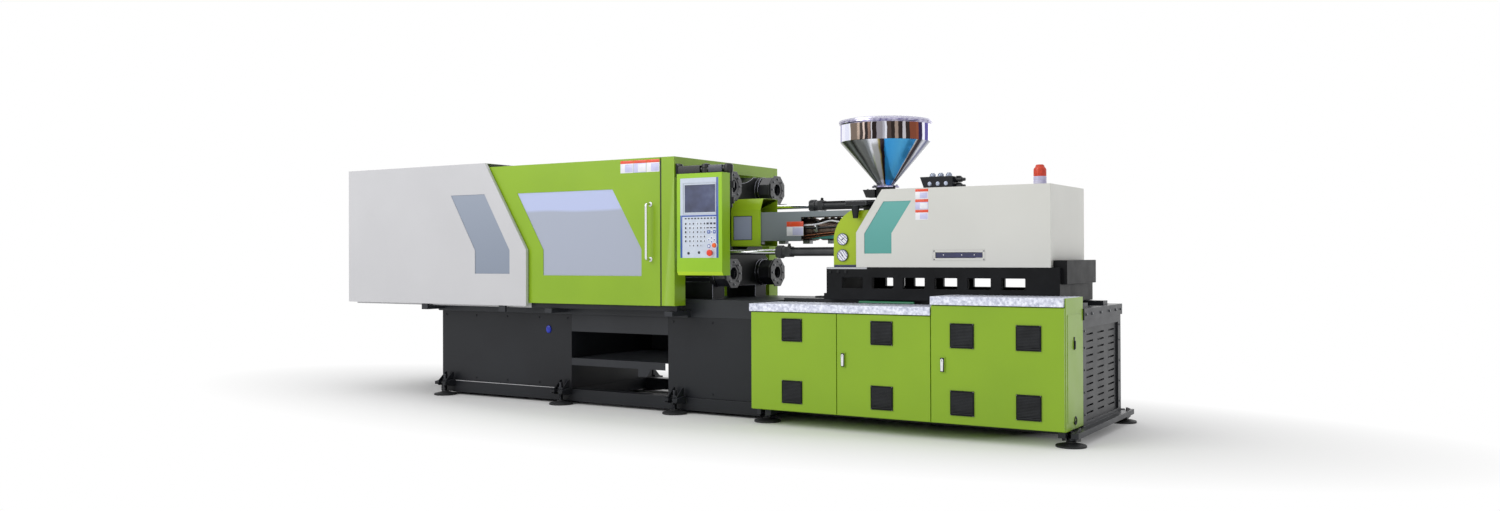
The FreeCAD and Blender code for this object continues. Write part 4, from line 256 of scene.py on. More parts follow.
def printedFilm(name, colour, shade, roughness=0.35):
    # screen-printed polyester film: flat ink under a satin face that shows a little waviness
    material = newMaterial(name)
    place = addNode(material, "TexCoord").outputs["Object"]
    ink = addNode(material, "TexNoise", {"Scale": perMetre(45), "Detail": 2.0}, {"Vector": place})
    tone = addNode(material, "ValToRGB", {"stops": [(0.3, shade), (0.7, colour)]}, {"Fac": ink.outputs[0]})
    bump = addNode(material, "Bump", {"Strength": 0.1, "Distance": 0.0003}, {"Height": ink.outputs[0]})
    shader = addNode(material, "BsdfPrincipled", {"Roughness": roughness, "Coat Weight": 0.3},
                     {"Base Color": tone.outputs[0], "Normal": bump.outputs[0]})
    return finishMaterial(material, shader)


def acrylicPane(name, upper, lower, split, blend, roughness, clear):
    # cast acrylic sheet with a matt inner face: the paler tint in its upper part, above the split height, is
    # a painted reflection of the light above
    material = newMaterial(name)
    place = addNode(material, "TexCoord").outputs["Object"]
    rise = addNode(material, "SeparateXYZ", {}, {0: place})
    haze = addNode(material, "TexNoise", {"Scale": perMetre(700), "Detail": 1.0}, {"Vector": place})
    mixed = addNode(material, "Math", {"operation": "MULTIPLY_ADD", 1: 0.05},
                    {0: haze.outputs[0], 2: rise.outputs[2]})
    spread = addNode(material, "MapRange",
                     {"From Min": (split - blend) * mm, "From Max": (split + blend) * mm},
                     {"Value": mixed.outputs[0]})
    tone = addNode(material, "ValToRGB", {"stops": [(0.0, lower), (1.0, upper)]}, {"Fac": spread.outputs[0]})
    wave = addNode(material, "TexNoise", {"Scale": perMetre(240), "Detail": 1.0}, {"Vector": place})
    bump = addNode(material, "Bump", {"Strength": 0.12, "Distance": 0.001}, {"Height": wave.outputs[0]})
    shader = addNode(material, "BsdfPrincipled",
                     {"Roughness": roughness, "Transmission Weight": clear, "IOR": 1.49,
                      "Specular IOR Level": 0.4},
                     {"Base Color": tone.outputs[0], "Normal": bump.outputs[0]})
    return finishMaterial(material, shader)


hopperBands = {
    "station": 4143,
    # angle about the hopper in degrees from +X, and the colour from there on: painted reflections of a
    # studio's cards and lamps on the polished drum and cone
    "drum": [(-180, "#A8A4B8"), (-147, "#5A4FA8"), (-140, "#F2F2FF"), (-128, "#E4E6F8"), (-118, "#F5F5FA"),
             (-115, "#7A6C62"), (-101, "#6B6058"), (-99, "#2A2422"), (-95, "#8C7F78"), (-92, "#1E1A1A"),
             (-88, "#5B4A42"), (-84, "#C9C6CC"), (-82, "#2A2322"), (-76, "#8F8B92"), (-70, "#A9A8B2"),
             (-67, "#DCDCE6"), (-64, "#4A3F3C"), (-58, "#2B2422"), (-54, "#8E7E74"), (-50, "#2E2626"),
             (-44, "#BDB9BE"), (-40, "#342A28"), (-35, "#7C4634"), (-24, "#8A4E38"), (-21, "#2D2348"),
             (-14, "#F2F2FF"), (-8, "#4A3E96"), (2, "#E8E8F6"), (14, "#4E4498"), (60, "#5B5654"),
             (110, "#C9C8CE"), (150, "#55504E")],
    "cone": [(-180, "#8E908C"), (-150, "#4E524B"), (-137, "#7D827A"), (-131, "#32362F"), (-120, "#8B9089"),
             (-113, "#2C2F2A"), (-106, "#A4A7A5"), (-90, "#8B8F8F"), (-86, "#F8F8F8"), (-76, "#F4F4F4"),
             (-74, "#B9A43A"), (-72, "#3A2A2C"), (-67, "#2A1C1E"), (-66, "#3CB0FF"), (-44, "#5CC2FF"),
             (-24, "#48B4FF"), (-22.5, "#F4F6FA"), (-20, "#4B3434"), (-14, "#2A2C44"), (-8, "#E6E8F2"),
             (-1, "#2E3A78"), (12, "#B6B8BE"), (50, "#5A5E58"), (90, "#C9CBC9"), (130, "#50544C")],
}


def mirrorStainless(name, bands, metallic, steps):
    # stainless sheet polished to a mirror: the bands of a studio's cards and lamps run up it as painted
    # reflections, fixed tints in its colour
    material = newMaterial(name)
    place = addNode(material, "TexCoord").outputs["Object"]
    centre = (originStation - hopperBands["station"]) * mm
    middle = addNode(material, "Mapping", {"Location": (centre, 0, 0)}, {"Vector": place})
    waver = addNode(material, "TexNoise", {"Scale": perMetre(70), "Detail": 2.0}, {"Vector": place})
    angle = addNode(material, "TexGradient", {"gradient_type": "RADIAL"}, {"Vector": middle.outputs[0]})
    shifted = addNode(material, "Math", {"operation": "MULTIPLY_ADD", 1: 0.008},
                      {0: waver.outputs[0], 2: angle.outputs["Fac"]})
    stops = []
    for degrees, colour in bands:
        stops.append(((degrees + 180) / 360 + 0.004, colour))
    tone = addNode(material, "ValToRGB", {"stops": stops, "interpolation": steps},
                   {"Fac": shifted.outputs[0]})
    bump = addNode(material, "Bump", {"Strength": 0.08, "Distance": 0.001}, {"Height": waver.outputs[0]})
    shader = addNode(material, "BsdfPrincipled", {"Metallic": metallic, "Roughness": 0.12},
                     {"Base Color": tone.outputs[0], "Normal": bump.outputs[0]})
    return finishMaterial(material, shader)


def gaugeDialAndReflection():
    # enamelled dial behind flat glass; its diagonal bands of white and blue are a painted reflection in the
    # glass
    material = newMaterial("gaugeDialAndReflection")
    place = addNode(material, "TexCoord").outputs["Object"]
    turned = addNode(material, "Mapping", {"Rotation": (0, math.radians(42), 0)}, {"Vector": place})
    bands = addNode(material, "TexWave", {"Scale": perMetre(96), "Distortion": 2.5, "Detail": 1.0},
                    {"Vector": turned.outputs[0]})
    tone = addNode(material, "ValToRGB",
                   {"stops": [(0.3, "#F4F5FA"), (0.42, "#C9CCEC"), (0.52, "#33356E"), (0.7, "#3C3E78"),
                              (0.8, "#F0F1F8")]},
                   {"Fac": bands.outputs[0]})
    shader = addNode(material, "BsdfPrincipled", {"Roughness": 0.12, "Coat Weight": 0.6},
                     {"Base Color": tone.outputs[0]})
    return finishMaterial(material, shader)


def displayGlass():
    # a dark LCD behind glass: slate blue with a paler cloudy bloom
    material = newMaterial("displayGlass")
    place = addNode(material, "TexCoord").outputs["Object"]
    cloud = addNode(material, "TexNoise", {"Scale": perMetre(85), "Detail": 2.0}, {"Vector": place})
    tone = addNode(material, "ValToRGB", {"stops": [(0.3, "#2C3352"), (0.55, "#3B4468"), (0.75, "#4C5678")]},
                   {"Fac": cloud.outputs[0]})
    shader = addNode(material, "BsdfPrincipled",
                     {"Roughness": 0.22, "Coat Weight": 0.5, "Coat Roughness": 0.05},
                     {"Base Color": tone.outputs[0]})
    return finishMaterial(material, shader)


leafGreen = paintedSheet("greenPaint", "#8DB31A", "#86AC18")
limeGreen = paintedSheet("limePaint", "#A4BE0C", "#9CB60A")
# a lighter copy of the green for the nozzle guard: painted light that offsets the shadow the control panel
# casts on it
hoodLitGreen = paintedSheet("hoodLitPaint", "#B8DE2C", "#AED426")
panelGreen = paintedSheet("panelGreenPaint", "#96C616", "#8EBE14")
# a lighter copy of the panel's green: painted light on the housing's downward front chamfer
panelChamferHighlight = paintedSheet("panelChamferHighlight", "#BCE020", "#B0D41C")
offWhite = paintedSheet("offWhitePaint", "#C8C8CB", "#C4C4C7", 0.34)
warmWhite = paintedSheet("warmWhitePaint", "#D9D9D3", "#D4D4CE", 0.34)
darkGrey = paintedSheet("darkGreyPaint", "#2E3035", "#26282C", 0.36, 0.0, 0.3)
bedBlack = paintedSheet("bedBlackPaint", "#232529", "#1C1D21", 0.36, 0.0, 0.25)
shieldGrey = paintedSheet("greyPaint", "#8C949B", "#7E868D", 0.36)
blackCasting = paintedCasting("blackCasting", "#202124", "#151618")
blackSheet = paintedSheet("blackSheet", "#1B1C1F", "#131416", 0.30, 0.0, 0.25)
baseBlack = paintedCasting("baseBlack", "#17181A", "#0E0F11", 0.42, 0.12)
armBlack = paintedSheet("armBlack", "#1A1B1F", "#121316", 0.26)
# a lighter bluish copy of the arm's black: painted highlight on the arm's second box section
armPaintedHighlight = paintedSheet("armPaintedHighlight", "#30334A", "#24273A", 0.2, 0.4, 0.5)
nutBlack = paintedCasting("nutBlack", "#2A2B32", "#1E1F26", 0.26, 0.7)
valveBlack = paintedCasting("valveBlack", "#15171E", "#0E1015", 0.4)
cylinderGrey = paintedCasting("cylinderPaint", "#4F5052", "#3F4042", 0.36)
groundSteel = bareSteel("groundSteel", "#B9BBBE", "#94969A", 0.28)
turnedSteel = bareSteel("turnedSteel", "#C4C6C8", "#9A9C9F", 0.22, (1, 1, 1))
chromedRod = bareSteel("chromedRod", "#EDEDF0", "#D6D7DB", 0.12)
oxideSteel = bareSteel("oxideSteel", "#6C6964", "#45423F", 0.42, (1, 1, 1), 8)
heaterBand = bareSteel("heaterBand", "#7A6A62", "#4E4039", 0.40, (1, 1, 1), 6)
# bright steel laid on the fixed platen's bevelled rims: a painted highlight along the casting's edges
platenRimHighlight = bareSteel("platenRimHighlight", "#C6C6D4", "#9698A6", 0.24, (1, 1, 1), 14)
rimSteel = bareSteel("rimStainless", "#C9C6DC", "#6E6690", 0.12, (1, 1, 1), 26)
copperPipe = bareSteel("copperPipe", "#8A5A40", "#5A3A2C", 0.30, (1, 1, 1), 9)
gaugeRim = bareSteel("gaugeRim", "#8E90A8", "#55577A", 0.16, (1, 1, 1), 9)
plugZinc = bareSteel("plugZinc", "#A6ACBA", "#737B8C", 0.32, (1, 1, 1), 7)
footBlack = bareSteel("footBlack", "#4A4B4F", "#2C2D30", 0.36, (1, 1, 1), 9)
# bare steel for bolts and small fittings; on the bevelled edges of the castings and links it is a painted
# highlight
steelAndEdgeHighlight = bareSteel("steelAndEdgeHighlight", "#8F9194", "#55575A", 0.34, (1, 1, 1), 12)
aluminium = bareSteel("treadAluminium", "#E2E4EE", "#A6AABC", 0.50, (1, 1, 1), 15)
drumMirror = mirrorStainless("drumStainless", hopperBands["drum"], 0.95, "CONSTANT")
coneMirror = mirrorStainless("coneStainless", hopperBands["cone"], 0.55, "LINEAR")
lidSteel = bareSteel("lidStainless", "#D3D2E0", "#A9A6BE", 0.20, (1, 1, 1), 9)
coverPane = acrylicPane("coverAcrylic", "#99A2B2", "#8A94A5", 1160, 300, 0.25, 0.05)
gatePane = acrylicPane("gateAcrylic", "#BEC8EC", "#ADB4C5", 1335, 9, 0.25, 0.06)
tealPane = acrylicPane("tealAcrylic", "#66AEA8", "#56A098", 1150, 200, 0.25, 0.0)
guardPane = acrylicPane("guardAcrylic", "#B4BCD8", "#A4ACCC", 1180, 90, 0.25, 0.05)
sealRubber = mouldedPlastic("sealRubber", "#222325", "#191A1B", 0.55)
padRubber = mouldedPlastic("padRubber", "#232426", "#17181A", 0.62)
cablePlastic = mouldedPlastic("cablePlastic", "#EDEEF4", "#D5D7E2", 0.35)
tealPlastic = mouldedPlastic("tealPlastic", "#2F8F86", "#257870", 0.35)
hosePlastic = mouldedPlastic("hosePlastic", "#1D1E22", "#151619", 0.28)
orangePlastic = mouldedPlastic("orangePlastic", "#F4702A", "#E85F1C", 0.32)
redPlastic = mouldedPlastic("redPlastic", "#F0452A", "#DE3A20", 0.32)
yellowPlastic = mouldedPlastic("yellowPlastic", "#E8C81E", "#D6B414", 0.35)
beaconFoot = mouldedPlastic("beaconFoot", "#DCDAF0", "#C2BEE2", 0.3)
redLens = mouldedPlastic("redLens", "#F2502E", "#DF3A1E", 0.16, 4, 0.25)
blueLens = mouldedPlastic("blueLens", "#1E34C4", "#162A9C", 0.22, 4, 0.0)
ventPlastic = mouldedPlastic("ventPlastic", "#1C1E20", "#141517", 0.5, 3, 0.0, 0.15)
finPlastic = mouldedPlastic("finPlastic", "#2A2C30", "#1E2023", 0.35, 3, 0.0, 0.3)
keyBlue = printedFilm("keyBlueFilm", "#2A52A8", "#23489A")
keyDark = printedFilm("keyDarkFilm", "#12162A", "#0C0F1E")
faceFilm = printedFilm("faceFilm", "#CBD4E2", "#C2CCDC")
bezelFilm = printedFilm("bezelFilm", "#E6EBF4", "#DCE2EE")
keyPad = printedFilm("keyPadFilm", "#D6DEEA", "#CCD5E4")
keyMark = printedFilm("keyMarkFilm", "#262B40", "#1C2032")
navyFilm = printedFilm("navyFilm", "#1E2358", "#161A44")
slotWhite = printedFilm("slotWhiteFilm", "#F2F2F4", "#E6E6EA")
labelRed = printedFilm("labelRedFilm", "#EC4F2C", "#DF4524")
labelWhite = printedFilm("labelWhiteFilm", "#F0F0F4", "#E6E6EE")
labelLilac = printedFilm("labelLilacFilm", "#CFCFEE", "#C2C3E6")
greenTube = paintedSheet("greenTubePaint", "#2D8A5E", "#247650", 0.3)
dialAndReflection = gaugeDialAndReflection()
slateGlass = displayGlass()
print("finishes made:", len(bpy.data.materials))


# shapes: each is made in a mesh of its own and joined on; lengths in mm, places as station, across, height
def join(bm, part, finish=0):
    bmesh.ops.recalc_face_normals(part, faces=part.faces)
    for face in part.faces:
        face.material_index = finish
    spare = bpy.data.meshes.new("spare")
    part.to_mesh(spare)
    part.free()
    bm.from_mesh(spare)
    bpy.data.meshes.remove(spare)


def bevelSharp(part, width, segments=2, angle=30, material=-1):
    sharp = [edge for edge in part.edges
             if len(edge.link_faces) == 2 and edge.calc_face_angle() > math.radians(angle)]
    bmesh.ops.bevel(part, geom=sharp, offset=width * mm, offset_type="OFFSET", segments=segments,
                    profile=0.5, affect="EDGES", material=material, clamp_overlap=True)


def thicken(part, sheet, push):
    # a flat sheet's faces are drawn out into a plate; push is in mm
    made = bmesh.ops.extrude_face_region(part, geom=sheet)["geom"]
    moved = [item for item in made if isinstance(item, bmesh.types.BMVert)]
    bmesh.ops.translate(part, verts=moved, vec=Vector(push) * mm)


def mergedCopy(node):
    # a CAD node's mesh is loose triangles: this copy has them joined into whole faces
    part = bmesh.new()
    part.from_mesh(frame["nodes"][node].data)
    bmesh.ops.remove_doubles(part, verts=part.verts, dist=mergeGap)
    bmesh.ops.dissolve_limit(part, angle_limit=math.radians(0.5), verts=part.verts, edges=part.edges)
    return part


def addBox(bm, low, high, bevel=1.0, finish=0):
    part = bmesh.new()
    start, end = spot(*low), spot(*high)
    size = Matrix.Diagonal((*(end - start), 1))
    bmesh.ops.create_cube(part, size=1, matrix=Matrix.Translation((start + end) / 2) @ size)
    bmesh.ops.recalc_face_normals(part, faces=part.faces)
    if bevel:
        bevelSharp(part, bevel)
    join(bm, part, finish)


def addRod(bm, start, end, radius, endRadius=None, sides=32, bevel=0.0, finish=0):
    part = bmesh.new()
    a, b = spot(*start), spot(*end)
    turn = (b - a).to_track_quat("Z", "Y").to_matrix().to_4x4()
    bmesh.ops.create_cone(part, cap_ends=True, segments=sides, radius1=radius * mm,
                          radius2=(radius if endRadius is None else endRadius) * mm,
                          depth=(b - a).length, matrix=Matrix.Translation((a + b) / 2) @ turn)
    if bevel:
        bevelSharp(part, bevel, angle=62 if sides < 8 else 40)
    join(bm, part, finish)


def addPlate(bm, outline, face, depth, bevel=0.5, finish=0):
    # an upright plate: its outline as station and height, its face at a distance across, thick towards +Y
    part = bmesh.new()
    corners = [part.verts.new(spot(station, face, height)) for station, height in outline]
    thicken(part, [part.faces.new(corners)], (0, depth, 0))
    bmesh.ops.recalc_face_normals(part, faces=part.faces)
    if bevel:
        bevelSharp(part, bevel)
    join(bm, part, finish)


def addRing(bm, outline, face, width, depth, finish=0):
    # a flat frame that runs inside an outline, as a seal or a border does
    part = bmesh.new()
    corners = [part.verts.new(spot(station, face, height)) for station, height in outline]
    sheet = part.faces.new(corners)
    bmesh.ops.inset_region(part, faces=[sheet], thickness=width * mm, use_boundary=True,
                           use_even_offset=True)
    bmesh.ops.delete(part, geom=[sheet], context="FACES_ONLY")
    thicken(part, part.faces[:], (0, depth, 0))
    join(bm, part, finish)


def addTurned(bm, foot, axis, profile, sides=64, finish=0, twist=0.0, bevel=0.0):
    # a profile of radius and distance along the axis, spun round it from the foot
    part = bmesh.new()
    turn = Vector(axis).to_track_quat("Z", "Y").to_matrix().to_4x4()
    place = Matrix.Translation(spot(*foot)) @ turn @ Matrix.Rotation(math.radians(twist), 4, "Z")
    corners = [part.verts.new(place @ Vector((radius * mm, 0, along * mm))) for radius, along in profile]
    for first, second in zip(corners, corners[1:]):
        part.edges.new((first, second))
    bmesh.ops.spin(part, geom=part.verts[:] + part.edges[:], cent=spot(*foot), axis=Vector(axis),
                   angle=math.tau, steps=sides, use_merge=True, use_duplicate=False)
    bmesh.ops.remove_doubles(part, verts=part.verts, dist=mergeGap)
    if bevel:
        bmesh.ops.recalc_face_normals(part, faces=part.faces)
        bevelSharp(part, bevel)
    join(bm, part, finish)


def addTube(bm, points, radius, sides=5, finish=0):
    # a bent round bar through its corners, with smooth bends
    curve = bpy.data.curves.new("line", "CURVE")
    curve.dimensions = "3D"
    curve.bevel_depth = radius * mm
    curve.bevel_resolution = sides
    curve.use_fill_caps = True
    spline = curve.splines.new("NURBS")
    spline.points.add(len(points) - 1)
    for point, place in zip(spline.points, points):
        point.co = (*spot(*place), 1)
    spline.order_u = 3
    spline.use_endpoint_u = True
    spline.resolution_u = 10
    line = bpy.data.objects.new("line", curve)
    spare = bpy.data.meshes.new_from_object(line)
    part = bmesh.new()
    part.from_mesh(spare)
    bmesh.ops.remove_doubles(part, verts=part.verts, dist=mergeGap)
    join(bm, part, finish)
    bpy.data.meshes.remove(spare)
    bpy.data.objects.remove(line)
    bpy.data.curves.remove(curve)


def addBolt(bm, place, axis, across=14, tall=6, washer=True, finish=0):
    # a hexagon head on its washer; place is on the face and axis points out of it
    reach = Vector(axis)
    start = Vector(place)
    if washer:
        addRod(bm, start, start + reach * 1.6, across * 0.68, sides=20, bevel=0.3, finish=finish)
    addRod(bm, start + reach * 1.6, start + reach * tall, across * 0.55, sides=6, bevel=0.6, finish=finish)


def newPiece(name, bm, materials, body, replaced=(), smooth=40, bevelled=True):
    mesh = bpy.data.meshes.new(name)
    bm.to_mesh(mesh)
    bm.free()
    mesh.shade_smooth()
    mesh.set_sharp_from_angle(angle=math.radians(smooth))
    piece = bpy.data.objects.new(name, mesh)
    bpy.context.scene.collection.objects.link(piece)
    for material in materials:
        mesh.materials.append(material)
    if bevelled:
        weights = piece.modifiers.new("weights", "WEIGHTED_NORMAL")
        weights.keep_sharp = True
    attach(piece, body)
    if replaced:
        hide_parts(*replaced)
    return piece


def finishNode(node, materials, edge=1.5, angle=30, edgeFinish=-1, choose=None):
    # a merged copy of a CAD node, with its sharp edges eased, stands for it
    bm = mergedCopy(node)
    for face in bm.faces:
        face.material_index = choose(face.calc_center_median(), face.normal) if choose else 0
    if edge:
        bevelSharp(bm, edge, angle=angle, material=edgeFinish)
    return newPiece(node + "Finish", bm, materials, riders[node], [node])


# plain finished copies: finishes, edge radius in mm
dressed = {
    "bed_skins": ([bedBlack], 1.5),
    "bay_tray": ([darkGrey], 1.0),
    "cover_roof": ([offWhite], 1.5),
    "cover_sides": ([offWhite], 1.5),
    "gate_front": ([leafGreen], 1.5),
    "gate_rear": ([leafGreen], 1.5),
    "cabinet_low": ([leafGreen], 1.5),
    "cabinet_high": ([leafGreen], 1.5),
    "nozzle_guard": ([hoodLitGreen], 1.2),
    "nozzle_guard_door": ([hoodLitGreen], 1.2),
    "nozzle_guard_window": ([guardPane], 0.8),
    "nose_cap": ([limeGreen], 1.2),
    "injection_cover": ([warmWhite], 1.5),
    "injection_cover_windows": ([tealPane], 0.8),
    "cover_windows": ([coverPane], 0.8),
    "gate_front_window": ([gatePane], 0.8),
    "gate_rear_window": ([gatePane], 0.8),
    "barrel_guard": ([shieldGrey], 1.0),
    "injection_base": ([baseBlack], 3.0),
    "feed_block": ([blackCasting, steelAndEdgeHighlight], 2.0),
    "rear_platen": ([blackCasting, steelAndEdgeHighlight], 3.0),
    "moving_platen": ([blackCasting, steelAndEdgeHighlight], 3.0),
    "clamp_cylinder": ([cylinderGrey], 2.0),
    "ejector_cylinder": ([cylinderGrey], 1.5),
    "ejector_rod": ([chromedRod], 1.0),
    "crosshead": ([oxideSteel, steelAndEdgeHighlight], 1.5),
    "rear_link_upper": ([oxideSteel, steelAndEdgeHighlight], 2.0),
    "rear_link_lower": ([oxideSteel, steelAndEdgeHighlight], 2.0),
    "front_link_upper": ([oxideSteel, steelAndEdgeHighlight], 2.0),
    "front_link_lower": ([oxideSteel, steelAndEdgeHighlight], 2.0),
    "short_link_upper": ([oxideSteel, steelAndEdgeHighlight], 1.5),
    "short_link_lower": ([oxideSteel, steelAndEdgeHighlight], 1.5),
    "clamp_bars": ([groundSteel], 1.5),
    "tread_plates": ([aluminium], 1.2),
}
# where a node has a second finish, it goes on the eased edges as a painted highlight along them
for node, (materials, edge) in dressed.items():
    finishNode(node, materials, edge, edgeFinish=1 if len(materials) > 1 else -1)
print("plain nodes finished:", len(dressed))


# guard portal and gate rails: the rails are dark under the gates and off-white under the clamp cover
railLook = {
    "top": 690,
    "coverEnd": 1789,
    "seal": (2888.5, 2896.5, 622, 642.5, 692, 1606),  # start, end, inner and outer across, low and high of the black seal strips, which also paint the shade in the gap between gate and post
}


def makeGuard():
    bm = mergedCopy("guard_frame")
    end = spot(railLook["coverEnd"], 0, railLook["top"])
    for place, normal in ((end, (1, 0, 0)), (end, (0, 0, 1))):
        bmesh.ops.bisect_plane(bm, geom=bm.verts[:] + bm.edges[:] + bm.faces[:],
                               plane_co=place, plane_no=normal)
    for face in bm.faces:
        centre = face.calc_center_median()
        face.material_index = 0 if centre.z > end.z else (2 if centre.x < end.x else 1)
    bevelSharp(bm, 2)
    newPiece("guardFrameFinish", bm, [leafGreen, bedBlack, offWhite], "machine",
             ["guard_frame"])
    # black rubber strips at the post where each gate closes: a seal, and painted shade of the gap
    bm = bmesh.new()
    start, stop, inner, outer, low, high = railLook["seal"]
    for side in (-1, 1):
        near, far = sorted((side * outer, side * inner))
        addBox(bm, (start, near, low), (stop, far, high), 1, 0)
    newPiece("gateSeals", bm, [sealRubber], "machine", bevelled=False)


makeGuard()


# bed: frame, bolted feet, lamp
bedLook = {
    "lampStation": 1810,
    "lampHeight": 501,
    "lamp": [(0, 0), (22, 0), (22, 3), (20, 7), (12, 9.5), (0, 10)],
    "skin": 463,  # from the middle to the outer face of each skin
    "boltStations": (820, 1120, 1420, 1720, 1975, 2860, 3160, 3480),
    "boltHeights": (130, 580),
    "railEdge": (930, 1925, 479, 101, 104.5),  # start, end, across, low and high of the pale strip, a painted highlight along the rail's top edge
}


def makeBed():
    def finishOf(centre, normal):
        return 1 if abs(centre.y) > 0.4785 and centre.z < 0.105 else 0

    finishNode("bed_frame", [darkGrey, bedBlack], 1.5, choose=finishOf)
    bm = bmesh.new()
    lamp = (bedLook["lampStation"], -bedLook["skin"], bedLook["lampHeight"])
    addTurned(bm, lamp, (0, -1, 0), bedLook["lamp"], 48, 0)
    middle = spot(*lamp)
    for vert in bm.verts:
        vert.co.z = middle.z + (vert.co.z - middle.z) * 1.25
    newPiece("bedLamp", bm, [blueLens], "machine")
    bm = bmesh.new()
    for station in bedLook["boltStations"]:
        for side in (-1, 1):
            for height in bedLook["boltHeights"]:
                addBolt(bm, (station, side * bedLook["skin"], height), (0, side, 0), 12, 5)
    newPiece("skinBolts", bm, [bedBlack], "machine")
    bm = bmesh.new()
    # off-white strips along the rails' top edges: a painted highlight
    start, end, across, low, high = bedLook["railEdge"]
    for side in (-1, 1):
        addBox(bm, (start, side * across - 1.5, low), (end, side * across + 1.5, high), 0.4, 0)
    newPiece("railEdges", bm, [offWhite], "machine", bevelled=False)


makeBed()


# levelling feet: rubber pad, blackened screw, hexagon nuts over and under the bracket
footLook = {
    "stations": (875, 1973, 2916, 3600, 5438),
    "across": 530,
    "pad": [(0, 0), (78, 0), (80, 2), (80, 9), (77, 12), (60, 16), (30, 22), (26, 24), (26, 30), (0, 30)],
    "screw": 14,
    "cheek": (481, 496, 566),  # across: the cheek's root, its top corner and its foot
    "brackets": ((85, 100), (48, 78)),  # under and top face of the plate each screw passes
}


def addCheek(bm, station, thick, outline, bevel=1.0, finish=0):
    # an upright plate across the machine: its outline as across and height
    part = bmesh.new()
    corners = [part.verts.new(spot(station, across, height)) for across, height in outline]
    thicken(part, [part.faces.new(corners)], (thick, 0, 0))
    bmesh.ops.recalc_face_normals(part, faces=part.faces)
    bevelSharp(part, bevel)
    join(bm, part, finish)


def makeFeet():
    bm = bmesh.new()
    for number, station in enumerate(footLook["stations"]):
        low, high = footLook["brackets"][0 if number < 3 else 1]
        top = 150 if number < 3 else 84
        for side in (-1, 1):
            across = side * footLook["across"]
            addTurned(bm, (station, across, 0), (0, 0, 1), footLook["pad"], 56, 0)
            thread = [(0, 24)]
            for turn in range(int((top - 26) / 4)):
                thread += [(footLook["screw"] - 0.2, 26 + turn * 4), (footLook["screw"] - 1.6, 28 + turn * 4)]
            thread += [(footLook["screw"] - 1.5, top - 0.6), (0, top - 0.2)]
            addTurned(bm, (station, across, 0), (0, 0, 1), thread, 24, 1)
            addRod(bm, (station, across, low - 16), (station, across, low - 1), 23,
                   sides=6, bevel=1.5, finish=1)
            if number < 3:
                addRod(bm, (station, across, high), (station, across, high + 3), 27,
                       sides=28, bevel=0.5, finish=1)
                addRod(bm, (station, across, high + 3), (station, across, high + 17), 23, sides=6, bevel=1.5,
                       finish=1)
            near, out = side * footLook["cheek"][0], side * footLook["cheek"][1]
            foot = side * footLook["cheek"][2]
            rise = top + 12
            for aside in (-38, 30):
                outline = [(near, low - 24), (near, rise), (out, rise), (foot, high + 2), (foot, low - 14)]
                addCheek(bm, station + aside, 8, outline, finish=2)
    newPiece("levellingFeet", bm, [padRubber, footBlack, bedBlack], "machine",
             ["levelling_feet"])


makeFeet()
print("bed and feet made")


# oil tank: dark louvres in its end, and the bolts round them
tankLook = {
    "end": 5445,
    "lip": 5453,
    "lipBolts": (-290, -180, 0, 180, 320, 430),
    "endBolts": ((140, 260, 380, 500, 590), (-296, 433)),  # heights, and both columns across
}


def makeTank():
    def finishOf(centre, normal):
        inside = centre.x > 2.66 and -0.27 < centre.y < 0.41 and 0.095 < centre.z < 0.612
        return 1 if inside and centre.x < 2.685 else 0

    finishNode("oil_tank", [darkGrey, bedBlack], 1.5, choose=finishOf)
    bm = bmesh.new()
    for across in tankLook["lipBolts"]:
        addBolt(bm, (tankLook["lip"], across, 681), (1, 0, 0), 13, 7)
    heights, columns = tankLook["endBolts"]
    for height in heights:
        for across in columns:
            addBolt(bm, (tankLook["end"], across, height), (1, 0, 0), 9, 5)
    newPiece("tankBolts", bm, [steelAndEdgeHighlight], "machine")


makeTank()


# cabinets: doors with grilles, swing-handle locks, side lock, cable gland
cabinetLook = {
    "face": -660,
    "ventProud": 4,
    "ventSize": 134,
    "ventHeights": (567, 205),
    "vents": {"door_left": (3846,), "door_middle": (4420,), "door_wide": (4892, 5257)},
    "locks": {"door_middle": 4181, "door_wide": 4782},
    "lockHeight": 408,
    "fins": 15,
    "hatch": [(-612, 130), (-362, 130), (-362, 690), (-612, 690)],  # on the end, as across and height
}


def makeGrille(bm, station, height):
    half = cabinetLook["ventSize"] / 2
    face = cabinetLook["face"] - cabinetLook["ventProud"]
    square = [(station - half, height - half), (station + half, height - half),
              (station + half, height + half), (station - half, height + half)]
    addRing(bm, square, face - 2.5, 7, 2.5, 0)
    pitch = (2 * half - 18) / cabinetLook["fins"]
    for row in range(cabinetLook["fins"]):
        level = height - half + 9 + (row + 0.5) * pitch
        addPlate(bm, [(station - half + 7, level - pitch * 0.32), (station + half - 7, level - pitch * 0.32),
                      (station + half - 7, level + pitch * 0.18), (station - half + 7, level + pitch * 0.18)],
                 face - 1.8, 1.8, 0.4, 2)
    for across in (-1, 1):
        for rise in (-1, 1):
            corner = (station + across * (half - 3.5), face - 2.5, height + rise * (half - 3.5))
            addRod(bm, corner, Vector(corner) + Vector((0, -1, 0)), 2.4, sides=12, bevel=0.3, finish=1)


def makeLock(bm, station, height, face):
    addPlate(bm, [(station - 11, height - 38), (station + 11, height - 38), (station + 11, height + 38),
                  (station - 11, height + 38)], face - 3, 3, 1.0, 0)
    addTurned(bm, (station, face - 3, height + 25), (0, -1, 0), [(0, 7), (7.5, 7), (8.5, 6), (8.5, 0)], 32, 1)
    addPlate(bm, [(station - 7, height - 34), (station + 7, height - 34), (station + 8.5, height + 22),
                  (station + 3, height + 31), (station - 3, height + 31), (station - 8.5, height + 22)],
             face - 9, 6, 1.5, 1)
    addBox(bm, (station - 1, face - 11, height + 20), (station + 1, face - 9.6, height + 30), 0.3, 0)


